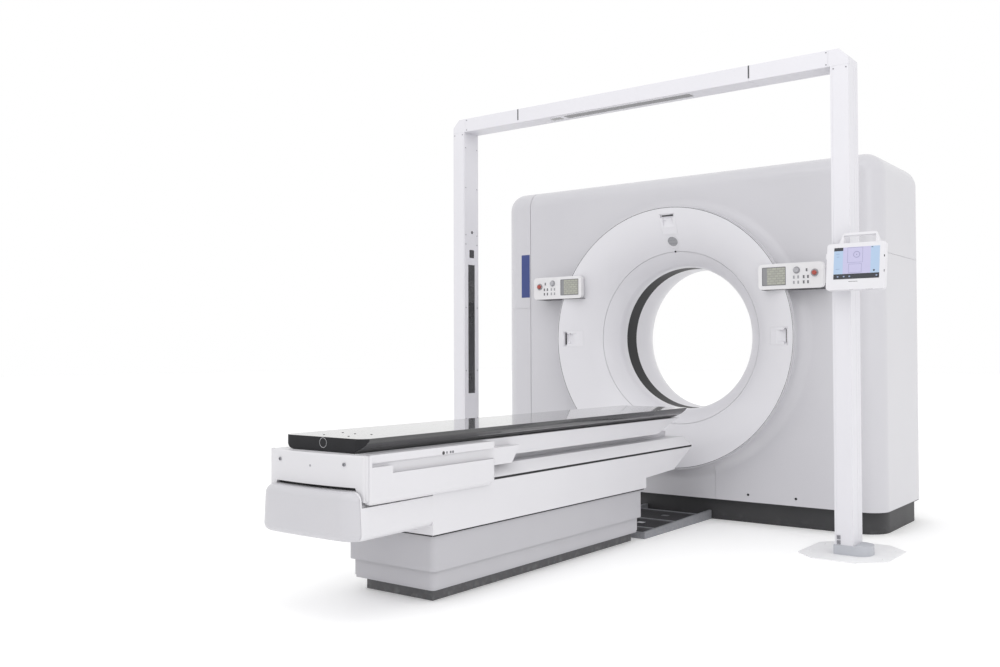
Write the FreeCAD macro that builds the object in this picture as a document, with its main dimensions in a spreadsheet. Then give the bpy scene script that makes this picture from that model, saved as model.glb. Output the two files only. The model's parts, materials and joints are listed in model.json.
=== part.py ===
"""Whole-body CT scanner: gantry, patient table, floor-standing laser bridge and foot pedals.

Millimetres and degrees, +Z up.  The origin is on the floor straight below the isocentre: the
scan plane is y = 0, the bore axis is x = 0, and the patient goes in along +Y from the table side.
"""
import FreeCAD, Part
import math
import os
import re
import Sketcher

SIZES = {
    # how far a cut runs past the piece it opens
    "cut_clear": 10,
    # gantry shell
    "bore_radius": 425, "bore_height": 1049, "front_face": 240, "rear_face": 540,
    "gantry_top": 2019, "left_reach": 1256, "right_reach": 1188, "shell_round": 110,
    "cover_wall": 6, "seam_gap": 4, "side_seam": 1045, "back_seam": 150, "lap_wall": 5, "lap_width": 16,
    # ring, collar and bore linings
    "ring_radius": 762, "ring_front": 348, "ring_slope": 14.8, "ring_wall": 10, "throat_depth": 133.1,
    "ring_skirt": 90, "seam_radius": 511, "throat_drop": 15, "collar_gap": 0.6, "collar_wall": 5,
    "collar_round": 64, "collar_front": 338, "window_front": 61, "window_back": 57, "window_wall": 3,
    "bell_start": 175, "bell_radius": 680,
    # plinth and base
    "plinth_height": 120, "plinth_setback": 16, "plinth_round": 140, "plinth_wall": 5, "base_height": 60,
    "plinth_step": 16, "flange_inset": 2, "foot_spread": 60,
    # stator and rotor
    "stator_front": 175, "stator_depth": 60, "stator_radius": 850, "stator_bore": 500,
    "leg_inner": 520, "leg_outer": 800, "race_inner": 560, "race_outer": 640, "race_depth": 40,
    "drum_front": 75, "drum_thick": 40, "drum_radius": 790, "drum_bore": 470, "track_radius": 740,
    "track_wall": 40, "running_gap": 0.3, "slip_ring_depth": 25, "belt_thick": 5, "belt_width": 30,
    "pulley_radius": 50, "pulley_reach": 900, "pulley_angle": 35, "shaft_radius": 15, "shaft_fit": 0.05,
    "motor_radius": 85, "motor_length": 180, "tube_radius": 90, "tube_centre": 650, "tube_length": 210,
    "detector_inner": 560, "detector_outer": 640, "detector_angle": 60, "track_clear": 10, "brush_half": 40,
    "belt_start": 122, "collimator_half": 60, "rack_inner": 530, "rack_outer": 740, "rack_half": 160,
    "generator_depth": 180, "exchanger_depth": 150,
    # control panels
    "panel_inner": 573, "panel_outer": 931, "panel_low": 1300, "panel_high": 1438, "panel_front": 364,
    "panel_thick": 28, "panel_round": 22, "panel_inset": 30, "fit_gap": 0.5,
    "knob_across": 787, "knob_height": 1398, "knob_radius": 14, "knob_length": 14,
    "stop_across": 885, "stop_height": 1380, "stop_radius": 17, "stop_travel": 4, "stem_radius": 6,
    "spindle_radius": 4, "socket_depth": 14, "knob_edge": 3, "stop_length": 14,
    # apertures and grille on the ring
    "aperture_inner": 609, "aperture_outer": 723, "aperture_half": 48, "grille_centre": 565,
    "grille_radius": 38, "aperture_depth": 30, "recess_half": 33, "recess_outer": 690, "recess_depth": 16,
    "recess_edge": 4, "slit_width": 16, "grille_depth": 14, "aperture_sweep": 20, "grille_sweep": 30,
    # laser bridge
    "post_across": 1174, "post_width": 87, "post_depth": 136, "bridge_front": 819, "bridge_top": 2404,
    "beam_height": 80, "bridge_wall": 5, "beam_split": 720, "block_inner": 1121, "slot_low": 714,
    "slot_length": 794, "slot_width": 64, "beam_slot_middle": -25, "glass_thick": 3, "plate_thick": 5,
    "plate_across": 420, "plate_shift": 3, "plate_front": 968, "plate_back": 450, "plate_corner": 110,
    "collar_high": 50, "collar_outer": 1288, "laser_length": 90, "laser_width": 56,
    "glass_recess": 1, "corner_chamfer": 45, "anchor_radius": 7, "bolt_inset": 40,
    # tablet
    "pivot_across": 1174, "pivot_front": 853, "pivot_height": 1352, "case_left": -42, "case_right": 226,
    "case_low": -112, "case_high": 123, "case_thick": 30, "case_front": 16, "case_round": 14,
    "handle_left": 12, "handle_right": 200, "handle_slope": 20, "handle_top": 158, "handle_bar": 12,
    "handle_inset": 4, "lug_width": 14, "lug_rim": 5, "lug_bite": 1, "bracket_plate_thick": 8,
    "bracket_reach": 65,
    "tablet_tilt": 8, "pin_radius": 6, "barrel_radius": 14, "barrel_half": 24,
    # table: fixed base
    "plinth_top": 45, "toe_room": 40, "toe_depth": 41, "head_toe": 8,
    "lower_top": 430, "glide_gap": 9, "lower_gap": 10, "head_step": 12,
    "middle_low": 108, "middle_high": 447, "skirt_gap": 5, "foot_gap": 9, "head_gap": 26,
    "skirt_wall": 4, "skirt_round": 22, "column_radius": 60, "piston_radius": 45, "column_top": 420,
    "column_foot": 2250, "column_head": 1450,
    # table: lift and slide
    "body_half": 240, "body_foot": 2680, "body_low": 268, "deck_height": 495, "deck_thick": 10,
    "body_head": 505, "body_step": 1030, "groove_low": 440, "groove_high": 450, "shoulder_in": 45,
    "frame_low": 440, "rail_height": 30, "foot_inset": 5, "foot_low": 300, "foot_high": 452,
    "foot_front": 3097, "foot_bulge": 26, "carriage_half": 185, "top_low": 601, "top_high": 654,
    "top_half": 209.5, "top_foot": 3024, "top_head": 500, "cover_lap": 9, "tray_gap": 1,
    "cover_front": 3050,
    "cover_low": 500, "cover_high": 600, "tray_depth": 25, "tray_foot": 3036, "tray_head": 2320,
    "tray_low": 424, "tray_wall": 4, "pocket_foot": 2925, "pocket_head": 2346, "pocket_lip": 540,
    "frame_gap": 5, "frame_rail": 40, "jaw_low": 320, "jaw_bend": 722, "jaw_middle": 335,
    "nose_slope": 25, "body_wall": 4, "groove_depth": 3, "groove_foot": 2300, "rail_inset": 70,
    "rail_inner": 90, "rail_outer": 110, "foot_round": 22, "foot_wall": 10, "carriage_inset": 12,
    "carriage_bend": 805, "carriage_head": 556, "hollow_foot": 160, "hollow_head": 240,
    "tray_clear": 4, "rebate_width": 16, "cover_bulge": 22, "cover_lip": 486, "tail_high": 570,
    "tail_end": 2122, "tail_slope": 58, "cover_relief_foot": 2995, "tray_round": 18, "tray_shelf": 565,
    "pocket_floor": 24, "chin_length": 70, "chin_rise": 46, "top_taper": 34, "top_edge": 642,
    "nose_reach": 94,
    # pedals
    "pedal_half": 215, "pedal_front": 1003, "pedal_back": 215, "pedal_plate": 14, "pedal_rim": 50,
    "rib_first": 860, "rib_second": 600, "rib_third": 300, "rib_half": 8,
    "rim_low": 34, "rim_width": 16, "pad_gap": 9, "pad_thick": 8, "pad_clear": 2, "pedal_pin": 3.5,
    "pin_inset": 7,
}

# Sizes that follow from those above, so that what nests, laps or meets keeps its fit.
RING_DROP = "(bore_radius + throat_drop - ring_radius)"
RING_DEPTH = "(ring_front - throat_depth)"
FOLLOWS = {
    "ring_curve": f"({RING_DEPTH}^2 + {RING_DROP}^2)"
                  f" / (2 * ({RING_DEPTH} * cos(ring_slope) + {RING_DROP} * sin(ring_slope)))",
    "middle_half": "body_half - body_wall - skirt_gap",
    "middle_foot": "body_foot - body_wall - foot_gap",
    "middle_head": "body_step + head_gap",
    "lower_half": "middle_half - skirt_wall - glide_gap",
    "lower_foot": "middle_foot - skirt_wall - lower_gap",
    "lower_head": "middle_head + skirt_wall + head_step",
    "plinth_half": "lower_half - toe_room",
    "plinth_foot": "lower_foot - toe_depth",
    "plinth_head": "lower_head + head_toe",
    "shoulder_half": "body_half - shoulder_in",
    "frame_half": "shoulder_half - frame_gap",
    "side_half": "body_half + tray_gap",
    "cover_half": "side_half + cover_lap",
    "tray_outer": "side_half + tray_depth",
    "foot_half": "tray_outer - foot_inset",
}

AXIS = {"x": FreeCAD.Vector(1, 0, 0), "y": FreeCAD.Vector(0, 1, 0), "z": FreeCAD.Vector(0, 0, 1)}
LYING = {
    "x": FreeCAD.Rotation(AXIS["y"], 90),
    "y": FreeCAD.Rotation(AXIS["x"], -90),
    "z": FreeCAD.Rotation(),
}
PLANE = {"x": "YZ_Plane", "y": "XZ_Plane", "z": "XY_Plane"}
SAME_PLACE = 1e-6
SIZE_NAME = re.compile(r"\b[a-z]+(?:_[a-z]+)+\b")
OUTER_LEFT, OUTER_RIGHT = "-left_reach", "right_reach"

doc = FreeCAD.newDocument("ct_scanner")
sheet = doc.addObject("Spreadsheet::Sheet", "sizes")
for row, (alias, plain) in enumerate(SIZES.items(), start=1):
    sheet.set(f"A{row}", alias)
    sheet.set(f"B{row}", str(plain))
    sheet.setAlias(f"B{row}", alias)
doc.recompute()

nodes = []


def linked(formula):
    """A formula with every size name tied to its driving size."""
    def source(found):
        name = found[0]
        return f"({linked(FOLLOWS[name])})" if name in FOLLOWS else f"sizes.{name}"

    return SIZE_NAME.sub(source, str(formula))


def number(formula):
    """The present value of a formula."""
    result = sheet.evalExpression(linked(formula))
    return float(getattr(result, "Value", result))


def bind(thing, **formulas):
    for name, formula in formulas.items():
        thing.setExpression(name, linked(formula))
    return thing


def move(thing, **places):
    """Bind a placement's x, y or z to a formula."""
    for axis, formula in places.items():
        thing.setExpression(f"Placement.Base.{axis}", linked(formula))
    return thing


def node(label, thing):
    """Name a finished sub-part: its label names its file."""
    doc.recompute()
    thing.Label = label
    nodes.append(thing)
    return thing


# ---------------------------------------------------------------- primitives and booleans
def block(name, across, along, upward):
    """A box between two formulas on each axis."""
    box = doc.addObject("Part::Box", name)
    for side, axis, (low, high) in zip(("Length", "Width", "Height"), "xyz", (across, along, upward)):
        bind(box, **{side: f"({high}) - ({low})"})
        move(box, **{axis: low})
    return box


def pair(name, inner, outer, along, upward):
    """The same box on both sides of x = 0, between an inner and an outer distance."""
    return [block(f"{name}_right", (inner, outer), along, upward),
            block(f"{name}_left", (f"-({outer})", f"-({inner})"), along, upward)]


def rod(name, axis, radius, start, end, **places):
    """A cylinder along an axis, from start to end, with its centre line at the given places."""
    cylinder = doc.addObject("Part::Cylinder", name)
    cylinder.Placement = FreeCAD.Placement(FreeCAD.Vector(), LYING[axis])
    bind(cylinder, Radius=radius, Height=f"({end}) - ({start})")
    return move(cylinder, **{axis: start}, **places)


def fuse(name, *pieces):
    joined = doc.addObject("Part::MultiFuse", name)
    joined.Shapes = list(pieces)
    return joined


def cut(name, base, *tools):
    rest = doc.addObject("Part::Cut", name)
    rest.Base = base
    rest.Tool = tools[0] if len(tools) == 1 else fuse(f"{name}_tools", *tools)
    return rest


def common(name, first, second):
    shared = doc.addObject("Part::MultiCommon", name)
    shared.Shapes = [first, second]
    return shared


def group(name, *pieces):
    """Identical separate solids that share one node."""
    together = doc.addObject("Part::Compound", name)
    together.Links = list(pieces)
    return together


def mirrored(name, source):
    """The same piece on the other side of x = 0."""
    twin = doc.addObject("Part::Mirroring", name)
    twin.Source = source
    twin.Base = FreeCAD.Vector()
    twin.Normal = AXIS["x"]
    return twin


def rounded(name, base, radius, wanted):
    """Round the straight edges of a piece that the test picks."""
    doc.recompute()
    size = number(radius)
    fillet = doc.addObject("Part::Fillet", name)
    fillet.Base = base
    picked = [i for i, edge in enumerate(base.Shape.Edges, start=1) if wanted(edge)]
    fillet.Edges = [(i, size, size) for i in picked]
    return fillet


def runs_along(edge, axis):
    tangent = edge.tangentAt(edge.FirstParameter)
    return abs(abs(tangent.dot(AXIS[axis])) - 1) < SAME_PLACE


def upright(edge):
    return runs_along(edge, "z")


# ---------------------------------------------------------------- sketched bodies
def outline(body, name, axis, corners, level="0"):
    """A closed sketch square to an axis.

    A corner is (across, up) and may add the radius of an arc to the next corner; a radius
    that starts with a minus sign bulges to the right of the way round.
    """
    sketch = body.newObject("Sketcher::SketchObject", name)
    plane = next(part for part in body.Origin.OriginFeatures if part.Role == PLANE[axis])
    sketch.AttachmentSupport = [(plane, "")]
    sketch.MapMode = "FlatFace"
    side = "-" if axis == "y" else ""
    sketch.setExpression("AttachmentOffset.Base.z", linked(f"{side}({level})"))
    points = [FreeCAD.Vector(number(corner[0]), number(corner[1]), 0) for corner in corners]
    ends = []
    for index, corner in enumerate(corners):
        start = points[index]
        finish = points[(index + 1) % len(points)]
        if len(corner) == 2:
            curve = sketch.addGeometry(Part.LineSegment(start, finish), False)
            ends.append((curve, 1, 2))
            continue
        bulge = corner[2].startswith("-")
        radius = abs(number(corner[2]))
        chord = finish - start
        square = FreeCAD.Vector(-chord.y, chord.x, 0).normalize()
        rise = radius - math.sqrt(radius**2 - (chord.Length / 2) ** 2)
        middle = start + chord * 0.5 + square * (-rise if bulge else rise)
        arc = Part.Arc(start, middle, finish)
        curve = sketch.addGeometry(arc, False)
        first_is_start = sketch.getPoint(curve, 1).distanceToPoint(start) < SAME_PLACE
        ends.append((curve, 1, 2) if first_is_start else (curve, 2, 1))
    for index, (curve, head, tail) in enumerate(ends):
        after, after_head, _ = ends[(index + 1) % len(ends)]
        sketch.addConstraint(Sketcher.Constraint("Coincident", curve, tail, after, after_head))
        for kind, formula in zip(("DistanceX", "DistanceY"), corners[index]):
            fixed = Sketcher.Constraint(kind, -1, 1, curve, head, number(formula))
            place = sketch.addConstraint(fixed)
            sketch.setExpression(f"Constraints[{place}]", linked(formula))
        if len(corners[index]) == 3:
            radius = corners[index][2].lstrip("-")
            curved = sketch.addConstraint(Sketcher.Constraint("Radius", curve, number(radius)))
            sketch.setExpression(f"Constraints[{curved}]", linked(radius))
    return sketch


def prism(name, axis, corners, start, end):
    """An outline pushed along an axis, from start to end."""
    body = doc.addObject("PartDesign::Body", name)
    sketch = outline(body, f"{name}_outline", axis, corners, start)
    pad = body.newObject("PartDesign::Pad", f"{name}_pad")
    pad.Profile = sketch
    pad.Reversed = axis == "y"
    bind(pad, Length=f"({end}) - ({start})")
    return body


def turned(name, corners, sweep="360"):
    """An outline of (along, radius) corners turned about the y axis through the body's origin."""
    body = doc.addObject("PartDesign::Body", name)
    sketch = outline(body, f"{name}_outline", "x", corners)
    spin = body.newObject("PartDesign::Revolution", f"{name}_spin")
    spin.Profile = sketch
    spin.ReferenceAxis = (sketch, ["H_Axis"])
    spin.Midplane = sweep != "360"
    bind(spin, Angle=sweep)
    return body


def smooth(body, name, radius, wanted):
    """Round the edges of a sketched body that the test picks."""
    doc.recompute()
    before = body.Tip
    picked = [f"Edge{i}" for i, edge in enumerate(before.Shape.Edges, start=1) if wanted(edge)]
    fillet = body.newObject("PartDesign::Fillet", name)
    fillet.Base = (before, picked)
    bind(fillet, Radius=radius)
    return body


def at_bore(thing):
    """Lift a piece that is drawn about the bore axis to the bore's height."""
    return move(thing, z="bore_height")


# ---------------------------------------------------------------- gantry covers
# Four moulded covers are cut from one rounded envelope; a lining just inside it gives each
# cover the lap that closes the seam to the next.
def envelope(name, inset):
    shell = block(
        name,
        (f"{OUTER_LEFT} + {inset}", f"{OUTER_RIGHT} - {inset}"),
        (f"-front_face + {inset}", f"rear_face - {inset}"),
        ("plinth_height", f"gantry_top - {inset}"),
    )
    top = number(f"gantry_top - {inset}")

    def outside(edge):
        return upright(edge) or all(abs(corner.Z - top) < SAME_PLACE for corner in edge.Vertexes)

    return rounded(f"{name}_round", shell, f"shell_round - {inset}", outside)


outer_form = envelope("outer_form", "0")
inner_form = envelope("inner_form", "cover_wall")
lining_form = envelope("lining_form", "(cover_wall + lap_wall)")
cover_skin = cut("cover_skin", outer_form, inner_form)
cover_lining = cut("cover_lining", inner_form, lining_form)

EVERYWHERE = ("-3 * rear_face", "3 * rear_face")
WHOLE_HEIGHT = ("plinth_height", "gantry_top")
HALF_GAP = "seam_gap / 2"
CLOSE_SEAM = f"side_seam - {HALF_GAP}"
FAR_SEAM = f"side_seam + {HALF_GAP}"

# The ring cover is one bull-nosed surface; its section is an arc that leaves the rim at ring_slope
# and reaches the throat of the bore at throat_depth.
ARC_RADIUS_CENTRE = "(ring_radius + ring_curve * sin(ring_slope))"
ARC_DEPTH_CENTRE = "(ring_curve * cos(ring_slope) - ring_front)"


def on_arc(radius, depth):
    """How far along the bore the ring surface lies at a radius, some depth below the skin."""
    return f"({ARC_DEPTH_CENTRE} - sqrt((ring_curve - {depth})^2 - ({ARC_RADIUS_CENTRE} - ({radius}))^2))"


def panel_box(name, grow, front, back):
    """The room of the right-hand control panel: a plate in front and its neck through the covers."""
    plate = rounded(f"{name}_plate_round", block(
        f"{name}_plate",
        (f"panel_inner - {grow}", f"panel_outer + {grow}"),
        (f"-({front})", f"-panel_front + panel_thick + {grow}"),
        (f"panel_low - {grow}", f"panel_high + {grow}"),
    ), "panel_round", lambda edge: runs_along(edge, "y"))
    neck = block(
        f"{name}_neck",
        (f"panel_inner + panel_inset - {grow}", f"panel_outer - panel_inset + {grow}"),
        ("-panel_front + panel_thick / 2", f"-({back})"),
        (f"panel_low + panel_inset - {grow}", f"panel_high - panel_inset + {grow}"),
    )
    return plate, neck


right_room = fuse("right_room", *panel_box("right_room", "fit_gap", "panel_front + panel_thick", "0"))
left_room = mirrored("left_room", right_room)

collar = turned("collar", [
    ("-collar_front", "ring_radius + collar_gap"),
    ("-collar_front", "ring_radius + collar_gap + collar_wall"),
    ("-front_face - collar_round", "ring_radius + collar_gap + collar_wall", "-collar_round"),
    ("-front_face", "ring_radius + collar_gap + collar_wall + collar_round"),
    ("-front_face", "ring_radius + collar_round + 3 * collar_wall"),
    ("-front_face + cover_wall", "ring_radius + collar_round + 3 * collar_wall"),
    ("-front_face + cover_wall", "ring_radius + collar_gap + collar_wall + collar_round"),
    ("-front_face + collar_wall", "ring_radius + collar_gap + collar_wall + collar_round",
     "collar_round + collar_wall"),
    ("-front_face - collar_round", "ring_radius + collar_gap"),
])
at_bore(collar)

front_panel = common("front_panel", cover_skin, block(
    "front_region", (f"-({CLOSE_SEAM})", CLOSE_SEAM),
    ("-2 * front_face", f"back_seam - {HALF_GAP}"), WHOLE_HEIGHT))
front_hole = rod("front_hole", "y", "ring_radius + collar_round + 2 * collar_wall",
                 "-2 * front_face", "-front_face + 4 * cover_wall", z="bore_height")
LAP_REACH = ("side_seam - lap_width", "side_seam + lap_width")
side_laps = [
    common(f"{region.Name}_lap", cover_lining, region)
    for region in pair("front_side", *LAP_REACH, ("-2 * front_face", f"back_seam - {HALF_GAP}"), WHOLE_HEIGHT)
]
top_lap = common("lap_top", cover_lining, block(
    "lap_top_region", (f"-({CLOSE_SEAM})", CLOSE_SEAM),
    ("back_seam - lap_width", "back_seam + lap_width"), WHOLE_HEIGHT))
front_plain = fuse("front_plain", cut("front_open", front_panel, front_hole), collar, *side_laps, top_lap)
node("front_cover", cut("front_with_rooms", front_plain, right_room, left_room))

rear_panel = common("rear_panel", cover_skin, block(
    "rear_region", (f"-({CLOSE_SEAM})", CLOSE_SEAM), (f"back_seam + {HALF_GAP}", "2 * rear_face"),
    WHOLE_HEIGHT))
rear_hole = rod("rear_hole", "y", "bell_radius + collar_gap", "rear_face - 4 * cover_wall",
                "2 * rear_face", z="bore_height")
rear_laps = [
    common(f"{region.Name}_lap", cover_lining, region)
    for region in pair("rear_side", *LAP_REACH, (f"back_seam + {HALF_GAP} + lap_width", "2 * rear_face"),
                       WHOLE_HEIGHT)
]
node("rear_cover", fuse("rear_plain", cut("rear_open", rear_panel, rear_hole), *rear_laps))

node("left_side_cover", common("left_panel_skin", cover_skin, block(
    "left_region", ("-2 * left_reach", f"-({FAR_SEAM})"), EVERYWHERE, WHOLE_HEIGHT)))
node("right_side_cover", common("right_panel_skin", cover_skin, block(
    "right_region", (FAR_SEAM, "2 * right_reach"), EVERYWHERE, WHOLE_HEIGHT)))

# ---------------------------------------------------------------- ring, funnel and bore linings
OUTSIDE_SEAM = f"(seam_radius + {HALF_GAP} / 2)"
INSIDE_SEAM = f"(seam_radius - {HALF_GAP} / 2)"
LAP_RADIUS = "(seam_radius - lap_width)"
LAP_DEPTH = "(cover_wall + running_gap)"

ring_form = turned("ring_form", [
    ("-ring_front", "ring_radius", "-ring_curve"),
    (on_arc(OUTSIDE_SEAM, "0"), OUTSIDE_SEAM),
    (on_arc(OUTSIDE_SEAM, LAP_DEPTH), OUTSIDE_SEAM, f"-(ring_curve - {LAP_DEPTH})"),
    (on_arc(LAP_RADIUS, LAP_DEPTH), LAP_RADIUS),
    (on_arc(LAP_RADIUS, "ring_wall"), LAP_RADIUS, "ring_curve - ring_wall"),
    (on_arc("(ring_radius - ring_wall)", "ring_wall"), "ring_radius - ring_wall"),
    ("-ring_front + ring_skirt", "ring_radius - ring_wall"),
    ("-ring_front + ring_skirt", "ring_radius"),
])
aperture_stock = turned("aperture_stock", [
    (on_arc("aperture_outer", "0"), "aperture_outer", "-ring_curve"),
    (on_arc("aperture_inner", "0"), "aperture_inner"),
    (on_arc("aperture_inner", "aperture_depth"), "aperture_inner", "ring_curve - aperture_depth"),
    (on_arc("aperture_outer", "aperture_depth"), "aperture_outer"),
], "aperture_sweep")


def about_bore(name, thing, angle):
    """A copy of a piece turned about the bore axis, drawn with the axis at the origin."""
    copy = group(name, thing)
    copy.Placement = FreeCAD.Placement(FreeCAD.Vector(), FreeCAD.Rotation(AXIS["y"], angle))
    return copy


# Each laser aperture is a moulded insert: a light thumb-shaped recess with a dark slit at its outer end.
CLOCK = {"top": 0, "right": 90, "left": -90}
aperture_hole = block("aperture_hole", ("-aperture_half - fit_gap", "aperture_half + fit_gap"),
                      ("-2 * ring_front", "0"), ("aperture_inner - fit_gap", "aperture_outer + fit_gap"))
aperture_form = cut(
    "aperture_form",
    common("aperture_blank", aperture_stock, block(
        "aperture_outline", ("-aperture_half", "aperture_half"), ("-2 * ring_front", "0"),
        ("aperture_inner", "aperture_outer"))),
    block("aperture_recess", ("-recess_half", "recess_half"),
          ("-2 * ring_front", f"{on_arc('recess_outer', 'recess_depth')}"),
          ("aperture_inner + recess_edge", "recess_outer")),
    block("aperture_slit", ("-aperture_half + recess_edge", "aperture_half - recess_edge"),
          ("-2 * ring_front", f"{on_arc('aperture_outer', 'recess_depth')}"),
          ("aperture_outer - recess_edge - slit_width", "aperture_outer - recess_edge")),
)
grille_hole = rod("grille_hole", "y", "grille_radius + fit_gap", "-2 * ring_front", "0", z="grille_centre")
ring_holes = [about_bore(f"hole_{side}", aperture_hole, angle) for side, angle in CLOCK.items()]
ring_open = at_bore(cut("ring_open", ring_form, *ring_holes, grille_hole))
node("ring_cover", cut("ring_with_rooms", ring_open, right_room, left_room))
node("laser_apertures", at_bore(group("aperture_set", *[
    about_bore(f"aperture_{side}", aperture_form, angle) for side, angle in CLOCK.items()])))

# The intercom grille is a disc let into the ring, its face following the ring's surface.
grille_stock = turned("grille_stock", [
    (on_arc("(grille_centre + 2 * grille_radius)", "0"), "grille_centre + 2 * grille_radius", "-ring_curve"),
    (on_arc("(grille_centre - grille_radius - fit_gap)", "0"), "grille_centre - grille_radius - fit_gap"),
    (on_arc("(grille_centre - grille_radius - fit_gap)", "grille_depth"),
     "grille_centre - grille_radius - fit_gap", "ring_curve - grille_depth"),
    (on_arc("(grille_centre + 2 * grille_radius)", "grille_depth"), "grille_centre + 2 * grille_radius"),
], "grille_sweep")
node("intercom_grille", at_bore(common("grille_disc", grille_stock, rod(
    "grille_round", "y", "grille_radius", "-2 * ring_front", "0", z="grille_centre"))))

THROAT = "(bore_radius + throat_drop)"
LEAN = f"(({ARC_RADIUS_CENTRE} - {THROAT}) / ring_curve)"
THROAT_ROUND = f"(throat_drop / (1 - {LEAN}))"
THROAT_END = f"({on_arc(THROAT, '0')} + {THROAT_ROUND} * sqrt(1 - {LEAN}^2))"
node("funnel_cover", at_bore(turned("funnel_form", [
    (on_arc(INSIDE_SEAM, "0"), INSIDE_SEAM, "-ring_curve"),
    (on_arc(THROAT, "0"), THROAT, f"-{THROAT_ROUND}"),
    (THROAT_END, "bore_radius"),
    ("-window_front", "bore_radius"),
    ("-window_front", "bore_radius + cover_wall"),
    (THROAT_END, "bore_radius + cover_wall", f"({THROAT_ROUND} - cover_wall)"),
    (f"{on_arc(THROAT, '0')} + cover_wall * sqrt(1 - {LEAN}^2)", f"{THROAT} + cover_wall * {LEAN}",
     "ring_curve - cover_wall"),
    (on_arc(INSIDE_SEAM, "cover_wall"), INSIDE_SEAM),
])))
node("scan_window", at_bore(cut(
    "window_band",
    rod("window_outside", "y", "bore_radius + window_wall", "-window_front", "window_back"),
    rod("window_inside", "y", "bore_radius", "-2 * window_front", "2 * window_back"))))

# The rear lining is a bell mouth: one arc that leaves the bore tangent and meets the rear cover.
BELL_ROUND = ("(((rear_face - bell_start)^2 + (bell_radius - bore_radius)^2)"
              " / (2 * (bell_radius - bore_radius)))")
BELL_INNER_END = (f"(bell_start + sqrt(({BELL_ROUND} - cover_wall)^2"
                  f" - ({BELL_ROUND} - bell_radius + bore_radius)^2))")
node("rear_bore_cover", at_bore(turned("bell_form", [
    ("window_back", "bore_radius"),
    ("bell_start", "bore_radius", f"-{BELL_ROUND}"),
    ("rear_face", "bell_radius"),
    (BELL_INNER_END, "bell_radius", f"({BELL_ROUND} - cover_wall)"),
    ("bell_start", "bore_radius + cover_wall"),
    ("window_back", "bore_radius + cover_wall"),
])))

# ---------------------------------------------------------------- plinth, base and stator
def plinth_form(name, reach, upward, radius):
    """An upright-cornered box that stands in from the covers' outside by a distance."""
    form = block(name, (f"{OUTER_LEFT} + {reach}", f"{OUTER_RIGHT} - {reach}"),
                 (f"-front_face + {reach} + plinth_step", f"rear_face - {reach}"), upward)
    return rounded(f"{name}_round", form, radius, upright)


skirt_outside = plinth_form("skirt_outside", "plinth_setback", ("0", "plinth_height"), "plinth_round")
skirt_inside = plinth_form("skirt_inside", "(plinth_setback + plinth_wall)",
                           ("-plinth_height", "2 * plinth_height"), "plinth_round - plinth_wall")
flange = rounded("flange_round", block(
    "flange", (f"{OUTER_LEFT} + flange_inset", f"{OUTER_RIGHT} - flange_inset"),
    ("-front_face + flange_inset", "rear_face - flange_inset"),
    ("plinth_height - plinth_wall", "plinth_height")), "shell_round - flange_inset", upright)
node("gantry_plinth", cut(
    "plinth_shell", fuse("plinth_solid", skirt_outside, flange), skirt_inside))

BASE_CORNER = "plinth_round"
BASE_LEFT = f"{OUTER_LEFT} + plinth_setback + plinth_wall"
BASE_RIGHT = f"{OUTER_RIGHT} - plinth_setback - plinth_wall"
BASE_FRONT = "-front_face + plinth_setback + plinth_wall + plinth_step"
BASE_REAR = "rear_face - plinth_setback - plinth_wall"
node("gantry_base", prism("base_slab", "z", [
    (f"{BASE_LEFT} + {BASE_CORNER}", BASE_FRONT),
    (f"{BASE_RIGHT} - {BASE_CORNER}", BASE_FRONT),
    (BASE_RIGHT, f"{BASE_FRONT} + {BASE_CORNER}"),
    (BASE_RIGHT, f"{BASE_REAR} - {BASE_CORNER}"),
    (f"{BASE_RIGHT} - {BASE_CORNER}", BASE_REAR),
    (f"{BASE_LEFT} + {BASE_CORNER}", BASE_REAR),
    (BASE_LEFT, f"{BASE_REAR} - {BASE_CORNER}"),
    (BASE_LEFT, f"{BASE_FRONT} + {BASE_CORNER}"),
], "0", "base_height"))

STATOR_BACK = "(stator_front + stator_depth)"
PULLEY_X = "(pulley_reach * cos(pulley_angle))"
PULLEY_Z = "(bore_height - pulley_reach * sin(pulley_angle))"
stator_solid = fuse(
    "stator_solid",
    rod("stator_ring", "y", "stator_radius", "stator_front", STATOR_BACK, z="bore_height"),
    *pair("stator_leg", "leg_inner", "leg_outer", ("stator_front", STATOR_BACK),
          ("base_height", "bore_height")),
    *pair("stator_foot", "leg_inner", "leg_outer",
          ("stator_front - foot_spread", f"{STATOR_BACK} + foot_spread"), ("base_height", "2 * base_height")),
    rod("motor_boss", "y", "motor_radius + cover_wall", "stator_front", STATOR_BACK, x=PULLEY_X, z=PULLEY_Z),
)
node("stator_frame", cut(
    "stator_casting", stator_solid,
    rod("stator_hole", "y", "stator_bore", "0", "rear_face", z="bore_height"),
    rod("shaft_hole", "y", "shaft_radius + shaft_fit", "0", "rear_face", x=PULLEY_X, z=PULLEY_Z)))


def hoop(name, inner, outer, start, end):
    """A plain ring about the bore axis."""
    return at_bore(cut(name, rod(f"{name}_outside", "y", outer, start, end),
                       rod(f"{name}_inside", "y", inner, f"({start}) - cut_clear", f"({end}) + cut_clear")))


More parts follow.
